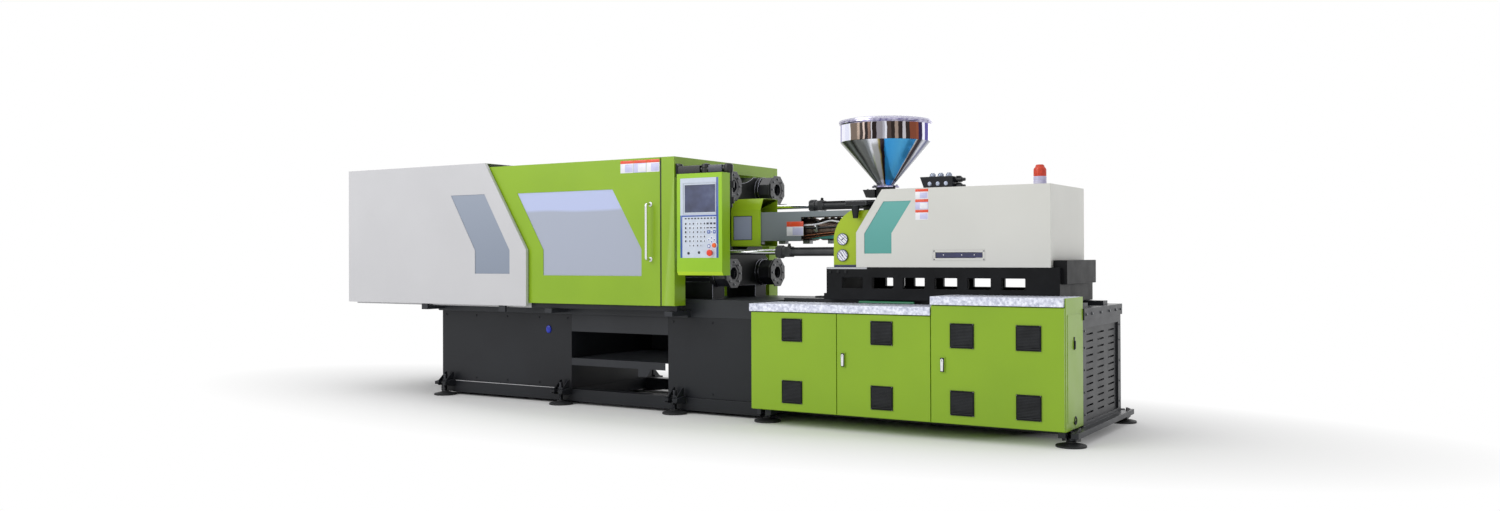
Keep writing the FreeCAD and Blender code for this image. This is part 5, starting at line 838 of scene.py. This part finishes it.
def makeCabinets():
    half = cabinetLook["ventSize"] / 2 * mm + 0.001

    for door, stations in cabinetLook["vents"].items():
        def finishOf(centre, normal):
            for station in stations:
                for height in cabinetLook["ventHeights"]:
                    middle = spot(station, cabinetLook["face"], height)
                    near = abs(centre.x - middle.x) < half and abs(centre.z - middle.z) < half
                    if near and centre.y < -0.6501 and abs(centre.y + 0.66) > 0.0002:
                        return 1
            return 0

        finishNode(door, [leafGreen, ventPlastic], 1.0, choose=finishOf)
        bm = bmesh.new()
        for station in stations:
            for height in cabinetLook["ventHeights"]:
                makeGrille(bm, station, height)
        newPiece(door + "Grilles", bm, [ventPlastic, steelAndEdgeHighlight, finPlastic], door)
        if door in cabinetLook["locks"]:
            bm = bmesh.new()
            makeLock(bm, cabinetLook["locks"][door], cabinetLook["lockHeight"], cabinetLook["face"] - 8)
            newPiece(door + "Lock", bm, [sealRubber, chromedRod], door)

    bm = bmesh.new()
    side = tankLook["end"]
    addCheek(bm, side, 2, cabinetLook["hatch"], bevel=0.8)
    addBox(bm, (side + 2, -507, 503), (side + 5, -489, 571), 0.8, 1)
    addBox(bm, (side + 5, -503, 508), (side + 11, -493, 552), 2.0, 2)
    addTurned(bm, (side, -480, 132), (1, 0, 0),
              [(13, 0), (22, 0), (23, 1), (23, 4), (20, 6), (15, 6), (13, 3)], 40, 1)
    addTurned(bm, (side, -480, 132), (1, 0, 0), [(13, 0.4), (0, 0.4)], 32, 1)
    newPiece("sideHatch", bm, [leafGreen, sealRubber, finPlastic], "machine")


makeCabinets()


# tread plates: raised lozenges of chequer plate, each turned against its neighbours
treadLook = {
    "plates": ((3557, 4711, 718), (4711, 5440, 777)),  # start, end and top
    "front": -668,
    "back": -326,
    "pitch": 25,
    "lozenge": (4.2, 1.9, 1.3),  # foot, top and height of one, before it is drawn out
    "stretch": 2.7,
}


def makeTread():
    bm = bmesh.new()
    foot, crown, tall = treadLook["lozenge"]
    pitch = treadLook["pitch"]
    for start, end, top in treadLook["plates"]:
        columns = int((end - start) / pitch)
        rows = int((treadLook["back"] - treadLook["front"]) / pitch)
        for column in range(columns):
            for row in range(rows):
                place = spot(start + (column + 0.5) * (end - start) / columns,
                             treadLook["front"] + (row + 0.5)
                             * (treadLook["back"] - treadLook["front"]) / rows,
                             top + tall / 2)
                turn = Matrix.Rotation(math.radians(45 if (column + row) % 2 else -45), 4, "Z")
                drawn = Matrix.Diagonal((treadLook["stretch"], 1, 1, 1))
                bmesh.ops.create_cone(bm, cap_ends=True, segments=6, radius1=foot * mm, radius2=crown * mm,
                                      depth=tall * mm, matrix=Matrix.Translation(place) @ turn @ drawn)
    newPiece("treadLozenges", bm, [aluminium], "machine", bevelled=False)


makeTread()
print("tank, cabinets and tread plates made")


# seals round the panes: each follows the outer face of its pane
def addSeal(bm, node, side, width, depth, finish=0):
    part = mergedCopy(node)
    part.normal_update()
    outer = max(vert.co.y * side for vert in part.verts)
    unwanted = [face for face in part.faces
                if face.normal.y * side < 0.99 or abs(face.calc_center_median().y * side - outer) > 0.0002]
    bmesh.ops.delete(part, geom=unwanted, context="FACES")
    inner = part.faces[:]
    bmesh.ops.inset_region(part, faces=inner, thickness=width * mm, use_boundary=True,
                           use_even_offset=True)
    bmesh.ops.delete(part, geom=inner, context="FACES_ONLY")
    thicken(part, part.faces[:], (0, side * depth, 0))
    join(bm, part, finish)


sealLook = {
    # node: sides of the machine it shows on, width and height of the seal
    "cover_windows": ((-1, 1), 4, 1.0),
    "injection_cover_windows": ((-1, 1), 4, 1.5),
    "nozzle_guard_window": ((-1,), 4, 1.2),
}
for node, (sides, width, depth) in sealLook.items():
    bm = bmesh.new()
    for side in sides:
        addSeal(bm, node, side, width, depth)
    newPiece(node + "Seal", bm, [sealRubber], riders[node], bevelled=False)


# gates: bow handles on collars
handleLook = {"station": 2812, "face": 643, "reach": 46, "low": 982, "high": 1331, "radius": 9, "bend": 26}


def makeHandles():
    look = handleLook
    for side, node in ((-1, "gate_front_handle"), (1, "gate_rear_handle")):
        bm = bmesh.new()
        root, out = side * look["face"], side * (look["face"] + look["reach"])
        near = side * (look["face"] + look["reach"] - look["bend"])
        low, high, bend, station = look["low"], look["high"], look["bend"], look["station"]
        route = [(station, root, low), (station, near, low), (station, out, low), (station, out, low + bend),
                 (station, out, high - bend), (station, out, high),
                 (station, near, high), (station, root, high)]
        addTube(bm, route, look["radius"], 7)
        for height in (low, high):
            addTurned(bm, (station, root, height), (0, side, 0),
                      [(9.2, 0), (15, 0), (15, 3), (13, 5), (9.2, 5), (9.2, 0)], 40)
        newPiece("frontBowHandle" if side < 0 else "rearBowHandle", bm, [chromedRod], riders[node],
                 [node])


makeHandles()


# bare colour plates where the machine carries its printed ones
plateLook = {
    # name: body, side face, columns, rows, left, low, width, height, share of the red head
    "gatePlates": ("gate_front", -643, 3, 1, 2574, 1535, 311, 81, 0.25),
    "coverPlates": ("injection_unit", None, 1, 3, 4479, 1206, 82, 181, 0.28),
    "guardPlate": ("injection_unit", -100, 1, 1, 3494, 1128, 124, 93, 0.36),
}


def makePlates():
    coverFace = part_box("injection_cover")[0][1] / mm
    for name, (body, face, columns, rows, left, low, width, height, head) in plateLook.items():
        bm = bmesh.new()
        face = coverFace if face is None else face
        wide, tall = width / columns, height / rows
        for column in range(columns):
            for row in range(rows):
                x, z = left + column * wide, low + row * tall
                split = z + tall * (1 - head)
                tint = 1 + (row + column) % 2
                addBox(bm, (x + 1, face - 0.6, z + 1), (x + wide - 1, face, split), 0.2, tint)
                addBox(bm, (x + 1, face - 0.8, split), (x + wide - 1, face, z + tall - 1), 0.2, 0)
                inner = (x + wide * 0.36, x + wide - 5)
                addBox(bm, (inner[0], face - 0.7, z + 5), (inner[1], face, split - 5), 0.2, 3 - tint)
        newPiece(name, bm, [labelRed, labelWhite, labelLilac], body, bevelled=False)


makePlates()
print("seals, handles and plates made")


# fixed platen and the nuts on its tie bars: eight-sided nuts under lock plates with drawn corners
# its eased rims take bright steel: a painted highlight along the casting's edges
finishNode("fixed_platen", [blackCasting, platenRimHighlight], 3.0, edgeFinish=1)
nutLook = {
    "spread": 280,
    "foot": 3105.4,
    "nut": [(41, 0), (84, 0), (91, 6), (91, 80), (88, 84.6), (41, 84.6), (41, 0)],
    "plate": [(41, 85), (88, 85), (101, 96), (103, 102), (100, 104.5), (60, 104.5), (56, 101), (41, 101),
              (41, 85)],
    "rearFoot": 864,
    "rearNut": [(41, 0), (72, 0), (80, 6), (80, 130), (74, 136), (41, 136), (41, 0)],
}


def makeNuts():
    bm = bmesh.new()
    for across in (-nutLook["spread"], nutLook["spread"]):
        for height in (axisHeight - nutLook["spread"], axisHeight + nutLook["spread"]):
            foot = (nutLook["foot"], across, height)
            addTurned(bm, foot, (1, 0, 0), nutLook["nut"], 8, 0, twist=22.5, bevel=2.5)
            addTurned(bm, foot, (1, 0, 0), nutLook["plate"], 8, 0, twist=22.5, bevel=1.5)
            for number in range(8):
                turn = math.radians(number * 45)
                place = (nutLook["foot"] + 104, across + 72 * math.cos(turn), height + 72 * math.sin(turn))
                addBolt(bm, place, (1, 0, 0), 12, 7, finish=1)
            addTurned(bm, (nutLook["rearFoot"], across, height), (1, 0, 0), nutLook["rearNut"], 56, 0)
    newPiece("tieBarNuts", bm, [nutBlack, steelAndEdgeHighlight], "machine", ["tie_bar_nuts"])


makeNuts()


# barrel: nozzle, steel barrel and its ceramic heater bands with their clamp screws
barrelLook = {
    "tip": 2960,
    "nozzle": [(0, 0), (8, 0), (12, 3), (24, 33), (24, 164), (34, 164), (34, 170), (58, 170)],
    "radius": 58,
    "heaters": [3160 + number * 180 for number in range(4)],
    "heater": [(58.2, 0), (66, 0), (66, 6), (70, 7), (70, 143), (66, 144), (66, 150), (58.2, 150), (58.2, 0)],
}


def makeBarrel():
    bm = bmesh.new()
    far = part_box("barrel")[1][0] / mm + originStation - barrelLook["tip"]
    addTurned(bm, (barrelLook["tip"], 0, axisHeight), (1, 0, 0),
              barrelLook["nozzle"] + [(barrelLook["radius"], far), (0, far)], 64, 0)
    for start in barrelLook["heaters"]:
        addTurned(bm, (start, 0, axisHeight), (1, 0, 0), barrelLook["heater"], 64, 1)
        for along in (30, 75, 120):
            addBox(bm, (start + along - 9, -16, axisHeight + 68),
                   (start + along + 9, 16, axisHeight + 82), 2, 1)
            addRod(bm, (start + along, -24, axisHeight + 76),
                   (start + along, 24, axisHeight + 76), 3.5, sides=16, finish=2)
        addBox(bm, (start + 50, -22, axisHeight - 92), (start + 100, 22, axisHeight - 68), 2, 2)
    newPiece("barrelFinish", bm, [turnedSteel, heaterBand, steelAndEdgeHighlight], "injection_unit",
             ["barrel"])
    # what shows in the guard's open side: conduits to the heaters, a yellow and a teal plug
    bm = bmesh.new()
    wave = [(3602, -78, 1196), (3660, -84, 1196), (3730, -86, 1204), (3800, -86, 1224), (3850, -86, 1216),
            (3905, -86, 1208), (3960, -86, 1228), (4030, -84, 1232)]
    addTube(bm, wave, 5.5, 5, 0)
    addTube(bm, [(3602, -80, 1180), (3700, -82, 1176), (3900, -82, 1188), (4036, -80, 1190)], 7, 5, 1)
    addRod(bm, (3606, -82, 1128), (4030, -82, 1166), 5, sides=20, finish=2)
    addRod(bm, (3606, -74, 1112), (3960, -74, 1150), 3.5, sides=20, finish=2)
    addPlate(bm, [(3650, 1108), (4030, 1108), (4030, 1150), (3980, 1152), (3720, 1122)], -72, 8, 1.0, 3)
    addBox(bm, (3500, -97, 1099), (3548, -90, 1110), 1.5, 4)
    addBox(bm, (3700, -92, 1160), (3712, -72, 1200), 2, 5)
    newPiece("heaterLines", bm, [cablePlastic, hosePlastic, copperPipe, tealPlastic, yellowPlastic, steelAndEdgeHighlight],
             "injection_unit")


makeBarrel()


# carriage cylinders: tie-rod type, with square glands, ports and feet
ramLook = {
    "lines": ((-225, 1027), (215, 1332)),
    "start": 3500,
    "barrel": [(26, 500), (31, 500), (31, 552), (28, 555), (0, 555)],
    "gland": [(0, 330), (18.7, 330), (18.7, 0), (34, 0), (40, 4), (41, 8), (41, 40), (38, 44), (33, 45),
              (33, 104), (30, 110), (26, 112)],
    "blocks": ((8, 38, 36), (66, 104, 33)),  # start, end and half width of the square flanges, from the gland
    "ties": 23,
    "rod": [(0, 0), (18, 0), (18, 606), (15, 610), (0, 610)],
    "rodFoot": 3080.2,
    "eye": [(18.2, 0), (34, 0), (34, 14), (28, 18), (28, 44), (24, 50), (18.2, 50), (18.2, 0)],
    "foot": (3982, 4055, 21, 932),
}


def makeRams():
    bm = bmesh.new()
    start = ramLook["start"]
    for across, height in ramLook["lines"]:
        addTurned(bm, (start, across, height), (1, 0, 0), ramLook["gland"] + ramLook["barrel"], 56, 0)
        for low, high, half in ramLook["blocks"]:
            addBox(bm, (start + low, across - half, height - half),
                   (start + high, across + half, height + half), 5, 0)
        for side in (-1, 1):
            for rise in (-1, 1):
                tie = (across + side * ramLook["ties"], height + rise * ramLook["ties"])
                addRod(bm, (start + 104, *tie), (start + 520, *tie), 4.5, sides=18, finish=1)
                addRod(bm, (start, *tie), (start + 8, *tie), 8, sides=6, bevel=0.8, finish=1)
        addTurned(bm, (start + 85, across, height + 30), (0, 0, 1),
                  [(0, 0), (12, 0), (12, 8), (9, 9), (9, 20), (7, 22), (0, 22)], 28, 1)
        addBolt(bm, (start + 520, across, height + 26), (0, 0, 1), 16, 9, finish=1)
        first, last, half, low = ramLook["foot"]
        addBox(bm, (first, across - half, low), (last, across + half, height), 2, 0)
        addBox(bm, (first - 12, across - half - 12, low), (last, across + half + 12, low + 12), 1.5, 0)
    rods = bmesh.new()
    for across, height in ramLook["lines"]:
        foot = (ramLook["rodFoot"], across, height)
        addTurned(rods, foot, (1, 0, 0), ramLook["rod"], 48, 0)
        addTurned(rods, foot, (1, 0, 0), ramLook["eye"], 48, 1)
    newPiece("carriageRods", rods, [chromedRod, blackCasting], riders["carriage_rods"],
             ["carriage_rods"])
    newPiece("carriageCylinders", bm, [cylinderGrey, blackSheet], "injection_unit",
             ["carriage_cylinders"])


makeRams()
print("platen nuts, barrel and cylinders made")


# nose cap: gauges, bearing strip and bracket bolts
gaugeLook = {
    "station": 3999,
    "heights": (1100, 1003),
    "face": -300,
    "rim": [(0, 0), (37, 0), (37, 8), (35, 12), (32.5, 12), (31.5, 9.5), (31.5, 8), (0, 8)],
    "dial": [(0, 8.1), (31.4, 8.1), (31.4, 9), (0, 9)],
    "needles": (-52, 28),
}


def addHand(bm, centre, face, angle, reach, tail, width, finish):
    turn = Matrix.Rotation(math.radians(angle), 2)
    outline = []
    for along, aside in ((-tail, width), (-tail, -width), (reach, -width * 0.35), (reach, width * 0.35)):
        x, z = turn @ Vector((aside, along))
        outline.append((centre[0] + x, centre[1] + z))
    addPlate(bm, outline, face, 0.8, 0, finish)


def makeGauges():
    bm = bmesh.new()
    look = gaugeLook
    for height, needle in zip(look["heights"], look["needles"]):
        foot = (look["station"], look["face"], height)
        addTurned(bm, foot, (0, -1, 0), look["rim"], 64, 0)
        # the dial carries the painted reflection bands of its glass
        addTurned(bm, foot, (0, -1, 0), look["dial"], 64, 1)
        for tick in range(11):
            angle = -135 + tick * 27
            radians = math.radians(angle)
            middle = (look["station"] + 25 * math.sin(-radians), height + 25 * math.cos(radians))
            addHand(bm, middle, look["face"] - 9.6, angle, 3.5, 1.5, 0.9, 2)
        addHand(bm, (look["station"], height), look["face"] - 10.2, needle, 22, 8, 2.0, 2)
        addTurned(bm, (look["station"], look["face"] - 9, height), (0, -1, 0),
                  [(0, 0), (4, 0), (4, 1.6), (2.5, 2.2), (0, 2.2)], 24, 2)
    newPiece("gaugesFinish", bm, [gaugeRim, dialAndReflection, keyDark], "injection_unit",
             ["gauges"])


makeGauges()
capLook = {"strip": (3940, 4093, 932, 946), "face": -300, "edge": (3900, 4168, 921, 931), "front": -323}


def addTaperedBox(bm, stations, acrosses, heights, taper, finish=0):
    # a box whose bottom is drawn in along the machine
    part = bmesh.new()
    low = spot(stations[0], acrosses[0], heights[0])
    high = spot(stations[1], acrosses[1], heights[1])
    size = Matrix.Diagonal((*(high - low), 1))
    bmesh.ops.create_cube(part, size=1, matrix=Matrix.Translation((low + high) / 2) @ size)
    for vert in part.verts:
        if vert.co.z < (low.z + high.z) / 2 and vert.co.x < (low.x + high.x) / 2:
            vert.co.x += taper * mm
    bmesh.ops.recalc_face_normals(part, faces=part.faces)
    bevelSharp(part, 2)
    join(bm, part, finish)


def makeCapTrim():
    bm = bmesh.new()
    start, end, low, high = capLook["strip"]
    addBox(bm, (start, capLook["face"] - 2.5, low), (end, capLook["face"], high), 0.6, 0)
    start, end, low, high = capLook["edge"]
    addBox(bm, (start, capLook["front"] - 1.2, low), (end, capLook["front"], high), 0.4, 1)
    for number in range(3):
        addBolt(bm, (3925 + number * 52, capLook["front"], 905), (0, -1, 0), 15, 8, finish=2)
    # drawer of the hopper's slide gate, on the throat's front side
    addTaperedBox(bm, (4002, 4086), (-36, 36), (1362, 1411), 22, 2)
    addBolt(bm, (4022, 0, 1411), (0, 0, 1), 12, 6, finish=1)
    newPiece("capTrim", bm, [navyFilm, groundSteel, blackCasting], "injection_unit")
    # bracket's bright top plate and its bolts
    bm = bmesh.new()
    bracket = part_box("feed_block")
    front = bracket[0][1] / mm
    top = 1300
    addBox(bm, (4108, front + 3, top), (4178, front + 92, top + 3), 0.8, 0)
    for across in (front + 18, front + 74):
        for station in (4120, 4166):
            addBolt(bm, (station, across, top + 3), (0, 0, 1), 12, 8, finish=0)
    for station in (4060, 4226):
        for across in (-86, 86):
            addBolt(bm, (station, across, top), (0, 0, 1), 18, 11, finish=1)
    newPiece("bracketBolts", bm, [groundSteel, steelAndEdgeHighlight], "injection_unit")


makeCapTrim()


# hopper: spun stainless shell with a rolled rim, flange bolts and a shallow lid
hopperLook = {
    "station": hopperBands["station"],
    "bottom": 1419,
    "shell": [(42, 0), (83, 0), (85, 2), (85, 10), (83, 12), (50, 12), (48, 15), (277, 280), (278, 283),
              (278, 384), (279, 387), (281, 388), (284, 392), (284, 405), (282, 409), (278, 410), (275, 409),
              (275, 283), (274, 281), (46, 15), (42, 12), (42, 0)],
    "lid": [(0, 411), (284.4, 411), (284.6, 402), (284.6, 400.4), (286.9, 400.4), (287.3, 402), (287.3, 410),
            (285.6, 412.5), (268, 414), (261.3, 418), (120, 419), (0, 419)],
    "coneTop": 281,
}


def makeHopper():
    look = hopperLook
    bm = bmesh.new()
    foot = (look["station"], 0, look["bottom"])
    addTurned(bm, foot, (0, 0, 1), look["shell"], 96, 0)
    bm.faces.ensure_lookup_table()
    for face in bm.faces:
        rise = face.calc_center_median().z / mm - look["bottom"]
        face.material_index = 2 if rise < 14 or rise > 385 else (0 if rise < look["coneTop"] else 1)
    for number in range(8):
        turn = math.radians(number * 45 + 22.5)
        place = (look["station"] + 68 * math.cos(turn), 68 * math.sin(turn), look["bottom"] + 12)
        addBolt(bm, place, (0, 0, 1), 12, 8, finish=3)
    newPiece("hopperShell", bm, [coneMirror, drumMirror, rimSteel, steelAndEdgeHighlight], "injection_unit",
             ["hopper"], smooth=30)
    bm = bmesh.new()
    addTurned(bm, foot, (0, 0, 1), look["lid"], 96, 0)
    newPiece("hopperLid", bm, [lidSteel], "injection_unit", ["hopper_lid"])


makeHopper()


# beacon: ribbed red lens on a pale banded foot
beaconLook = {
    "station": 5112,
    "roof": 1392,
    "foot": [(0, 0), (37, 0), (37, 14), (35.5, 15.5), (35.5, 19), (37, 20.5), (37, 36), (35.5, 37.5),
             (35.5, 41), (37, 42.5), (37, 58), (35, 61), (0, 61)],
    "lens": [(0, 61), (34.8, 61), (34.8, 104), (33, 108.6), (28, 114), (24, 124), (22.2, 127), (19, 129),
             (0, 129)],
    "ribs": 20,
}


def makeBeacon():
    look = beaconLook
    bm = bmesh.new()
    foot = (look["station"], 0, look["roof"])
    addTurned(bm, foot, (0, 0, 1), look["foot"], 56, 1)
    addTurned(bm, foot, (0, 0, 1), look["lens"], 56, 0)
    for number in range(look["ribs"]):
        turn = math.tau * number / look["ribs"]
        x, y = look["station"] + 34.4 * math.cos(turn), 34.4 * math.sin(turn)
        addRod(bm, (x, y, look["roof"] + 64), (x, y, look["roof"] + 102), 1.6, sides=10, bevel=0.4, finish=0)
    newPiece("beaconFinish", bm, [redLens, beaconFoot], "injection_unit", ["beacon"])


makeBeacon()


# valve block: bevelled manifold, cartridge plugs, two solenoids with their nuts and sockets
valveLook = {
    "top": 1474,
    "plugs": (4455, 4507, 4559),
    "plug": [(0, 0), (20, 0), (20, 3), (18, 4), (18, 15), (16, 18), (12, 18), (11, 21), (11, 24), (0, 24)],
    "screw": [(0, 0), (8, 0), (8, 5), (6, 6), (0, 6)],
    "port": [(0, 0), (13, 0), (13, 3), (9, 4), (9, 6), (0, 6)],
    "end": 4600,
    "solenoids": (1414, 1454),
    "solenoid": [(0, 0), (16, 0), (16, 40), (14.5, 42), (10, 43), (10, 57), (8, 62), (0, 62)],
}


def makeValves():
    bm = bmesh.new()
    look = valveLook
    outline = [(4420, 1392), (4600, 1392), (4600, look["top"]), (4390, look["top"])]
    addPlate(bm, outline, -48, 96, 3.0, 0)
    for station in look["plugs"]:
        addTurned(bm, (station, 0, look["top"]), (0, 0, 1), look["plug"], 36, 1)
        for across in (-34, 34):
            addTurned(bm, (station, across, look["top"]), (0, 0, 1), look["screw"], 24, 1)
        addTurned(bm, (station, -48, 1430), (0, -1, 0), look["port"], 28, 1)
    for height in look["solenoids"]:
        addTurned(bm, (look["end"], 0, height), (1, 0, 0), look["solenoid"], 40, 2)
        addBox(bm, (look["end"] + 8, -13, height + 14), (look["end"] + 34, 13, height + 22), 2, 2)
    newPiece("valveBlock", bm, [valveBlack, plugZinc, hosePlastic], "injection_unit",
             ["valve_block"])


makeValves()
slotLook = {"start": 4602, "end": 4885, "low": 985, "high": 1018, "border": 14}


def makeSlot():
    look = slotLook
    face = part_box("injection_cover")[0][1] / mm
    edge = look["border"]
    outline = [(look["start"] - edge, look["low"] - edge), (look["end"] + edge, look["low"] - edge),
               (look["end"] + edge, look["high"] + edge), (look["start"] - edge, look["high"] + edge)]
    bm = bmesh.new()
    addRing(bm, outline, face - 1.2, edge - 1, 1.2, 0)
    for station in (look["start"] - edge / 2, look["end"] + edge / 2):
        for height in (look["low"] - edge / 2, look["high"] + edge / 2):
            addTurned(bm, (station, face - 1.2, height), (0, -1, 0),
                      [(0, 0), (4, 0), (3.6, 1.2), (0, 1.8)], 20, 1)
    addBox(bm, (look["start"] + 2, face + 5, look["low"] + 2),
           (look["end"] - 2, face + 9, look["high"] - 2), 0.5, 2)
    for station in (4650, 4760, 4835):
        addRod(bm, (station, face + 5, 1003), (station, face + 3.5, 1003), 3, sides=16, finish=0)
    newPiece("slotTrim", bm, [slotWhite, steelAndEdgeHighlight, navyFilm], "injection_unit")


makeSlot()
print("hopper, gauges, beacon and valves made")


# small things on the deck: green pipe on two saddles
deckLook = {"pipe": (4110, 4465), "across": -309, "height": 723, "radius": 9}


def makeDeckPipe():
    look = deckLook
    bm = bmesh.new()
    start, end = look["pipe"]
    addRod(bm, (start, look["across"], look["height"]), (end, look["across"], look["height"]), look["radius"],
           sides=32, bevel=1.5, finish=0)
    for station in (start + 40, end - 40):
        addBox(bm, (station - 9, look["across"] - 12, 712), (station + 9, look["across"] + 12, 719), 1.5, 1)
    newPiece("deckPipe", bm, [greenTube, steelAndEdgeHighlight], "machine")


makeDeckPipe()


# control panel: its arm, housing, printed face, keys, display and the two push buttons
panelLook = {
    "front": -723,
    "plate": (3098, 3377, 991, 1478),
    "bandWidth": 15,
    "split": (1242, 1251),
    "screen": (3131, 3354, 1268, 1436),
    "bezel": 10,
    "rows": (1199, 1173, 1148, 1120, 1093, 1066),
    "columns": (3139, 3170, 3196, 3226, 3251, 3277),
    "key": (10.5, 9.5),  # half sizes of a key pad
    "functionKeys": (3139, 3350, 10, 1231),  # first and last station, how many, height
}


def addKey(bm, station, height, half, mark, padFinish=4, markFinish=3):
    face = panelLook["front"]
    addBox(bm, (station - half[0], face - 1.3, height - half[1]),
           (station + half[0], face, height + half[1]), 0.6, padFinish)
    addBox(bm, (station - mark[0], face - 1.7, height - mark[1]),
           (station + mark[0], face - 1.2, height + mark[1]), 0, markFinish)


def makePanelFace():
    look = panelLook
    left, right, low, high = look["plate"]
    face, band = look["front"], look["bandWidth"]
    bm = bmesh.new()
    addBox(bm, (left + 0.5, face - 0.6, low + 0.5), (left + band, face, look["split"][1]), 0.1, 0)
    addBox(bm, (right - band, face - 0.6, low + 0.5), (right - 0.5, face, high - 0.5), 0.1, 0)
    addBox(bm, (left + band, face - 0.6, look["split"][0]), (right - band, face, look["split"][1]), 0.1, 0)
    start, end, bottom, top = look["screen"]
    edge = look["bezel"]
    addRing(bm, [(start - edge, bottom - edge), (end - 4 + edge, bottom - edge), (end - 4 + edge, top + edge),
                 (start - edge, top + edge)], face - 2, edge, 2, 1)
    start, end, count, level = look["functionKeys"]
    step = (end - start) / (count - 1)
    for number in range(count):
        addKey(bm, start + number * step, level, (9, 6.5), (6.5, 4.2), 4, 2)
    for row, height in enumerate(look["rows"]):
        for column, station in enumerate(look["columns"]):
            if row == 5 and column in (0, 5):
                continue
            first = column == 0
            addKey(bm, station, height, look["key"],
                   (5.6, 6.2) if first else (2.6 + (row + column) % 3, 5.4), 4, 2 if first else 3)
    for row in range(2):
        for column in range(3):
            addKey(bm, 3300 + column * 25, look["rows"][row], (10, 9.5), (8, 6 - 2 * row), 4, 3)
    for station, half in ((3308, (11, 10)), (3348, (9, 10))):
        addKey(bm, station, 1148, half, (3, 4), 0, 1)
    addKey(bm, 3328, 1148, (6, 9), (2.5, 5), 1, 0)
    for x, z in ((3308, 1100), (3328, 1112), (3348, 1100), (3328, 1088)):
        addTurned(bm, (x, face, z), (0, -1, 0), [(0, 0), (9.5, 0), (9.5, 1.1), (8.6, 1.6), (0, 1.6)], 28, 1)
        addTurned(bm, (x, face - 1.6, z), (0, -1, 0), [(0, 0), (4.5, 0), (4.5, 0.5), (0, 0.5)], 20, 0)
    addTurned(bm, (3308, face, 1062), (0, -1, 0),
              [(0, 0), (11, 0), (11, 1.6), (7.5, 1.6), (7.5, 1), (0, 1)], 32, 0)
    addTurned(bm, (3308, face, 1062), (0, -1, 0), [(0, 1), (7.4, 1), (7.4, 1.8), (0, 1.8)], 32, 1)
    for x, z in ((3159, 1019), (3236, 1023)):
        addTurned(bm, (x, face, z), (0, -1, 0),
                  [(0, 0), (8, 0), (8, 2.5), (6.5, 3.5), (5, 3.5), (4.5, 1.5), (0, 1.5)], 32, 2)
    newPiece("panelPrint", bm, [keyBlue, bezelFilm, keyDark, keyMark, keyPad], "control_panel",
             bevelled=False)


def makePanel():
    def finishOf(centre, normal):
        if centre.y > -0.6325:
            return 2
        # faces turned down and to the front take the lighter green: painted light on the chamfer
        return 1 if normal.z < -0.3 and normal.y < -0.3 else 0

    finishNode("panel_housing", [panelGreen, panelChamferHighlight, blackSheet], 2.0, choose=finishOf)
    finishNode("panel_faceplate", [faceFilm], 0.4)
    finishNode("panel_screen", [slateGlass], 0.4)
    makePanelFace()


makePanel()
armLook = {
    "across": -596,
    "height": 1540,
    "first": (2997, 3176, 25),  # start, end and half height of the arm's two box sections
    "second": (3236, 3338, 23),
    "joint": 3206,
    "elbow": 3370,
    "radius": 24,
    "drop": 1300,
}


def makeArm():
    look = armLook
    bm = bmesh.new()
    y, z = look["across"], look["height"]
    for number, key in enumerate(("first", "second")):
        start, end, half = look[key]
        # the second box section takes the arm's painted highlight finish
        addBox(bm, (start, y - 27, z - half), (end, y + 27, z + half), 5, number)
    addBox(bm, (look["first"][0], y - 34, z - 42), (look["first"][0] + 9, y + 34, z + 42), 3, 0)
    for across in (-26, 26):
        for height in (-34, 34):
            addBolt(bm, (look["first"][0] + 9, y + across, z + height), (1, 0, 0), 10, 6, finish=2)
    drum = [(0, -31), (26, -31), (28.5, -28), (28.5, -9), (26.5, -7), (26.5, 7), (28.5, 9), (28.5, 28),
            (26, 31), (0, 31)]
    addTurned(bm, (look["joint"], y, z), (0, 0, 1), drum, 56, 0)
    addRod(bm, (look["first"][1] - 4, y, z), (look["second"][0] + 4, y, z), 20, sides=40, finish=0)
    addTurned(bm, (look["joint"], y, z), (0, 0, 1), [(0, 31), (12, 31), (12, 34), (9, 36), (0, 36)], 32, 2)
    elbow = [(0, 28), (20, 28), (27, 22), (29, 14), (29, -14), (27, -22), (25.5, -26), (look["radius"], -34),
             (look["radius"], look["drop"] - z), (0, look["drop"] - z)]
    addTurned(bm, (look["elbow"], y, z), (0, 0, 1), elbow, 56, 0)
    addRod(bm, (look["second"][1] - 6, y, z), (look["elbow"] - 10, y, z), 22, sides=40, finish=0)
    newPiece("panelArm", bm, [armBlack, armPaintedHighlight, steelAndEdgeHighlight], "machine", ["panel_arm"])


makeArm()
buttonLook = {
    "start": (3349, 1066, [(0, 0), (5.5, 0), (5.5, -4), (14, -4.2), (14, -9.5), (12.5, -11.4),
                           (9, -12), (0, -12)]),
    "stop": (3322, 1021, [(0, 0), (5.5, 0), (5.5, -6), (16, -6.2), (18.5, -10), (20, -16), (19, -19.5),
                          (15, -21.6), (8, -22), (0, -22)]),
}


def makeButtons():
    for name, (station, height, profile) in buttonLook.items():
        bm = bmesh.new()
        outline = [(radius, -along) for radius, along in profile]
        addTurned(bm, (station, panelLook["front"], height), (0, -1, 0), outline, 56, 0)
        stem = [(0, 0), (5.5, 0), (5.5, 5), (0, 5)]
        addTurned(bm, (station, panelLook["front"], height), (0, 1, 0), stem, 24, 1)
        newPiece(name + "Button", bm, [orangePlastic if name == "start" else redPlastic, steelAndEdgeHighlight],
                 name + "_button",
                 [name + "_button"])
        bm = bmesh.new()
        ring = 19.7 if name == "start" else 22
        addTurned(bm, (station, panelLook["front"], height), (0, -1, 0),
                  [(ring - 5, 0), (ring, 0), (ring, 1.4), (ring - 1, 2), (ring - 5, 2), (ring - 5, 0)], 56, 0)
        newPiece(name + "Collar", bm, [bezelFilm], "control_panel")


makeButtons()
print("control panel made")
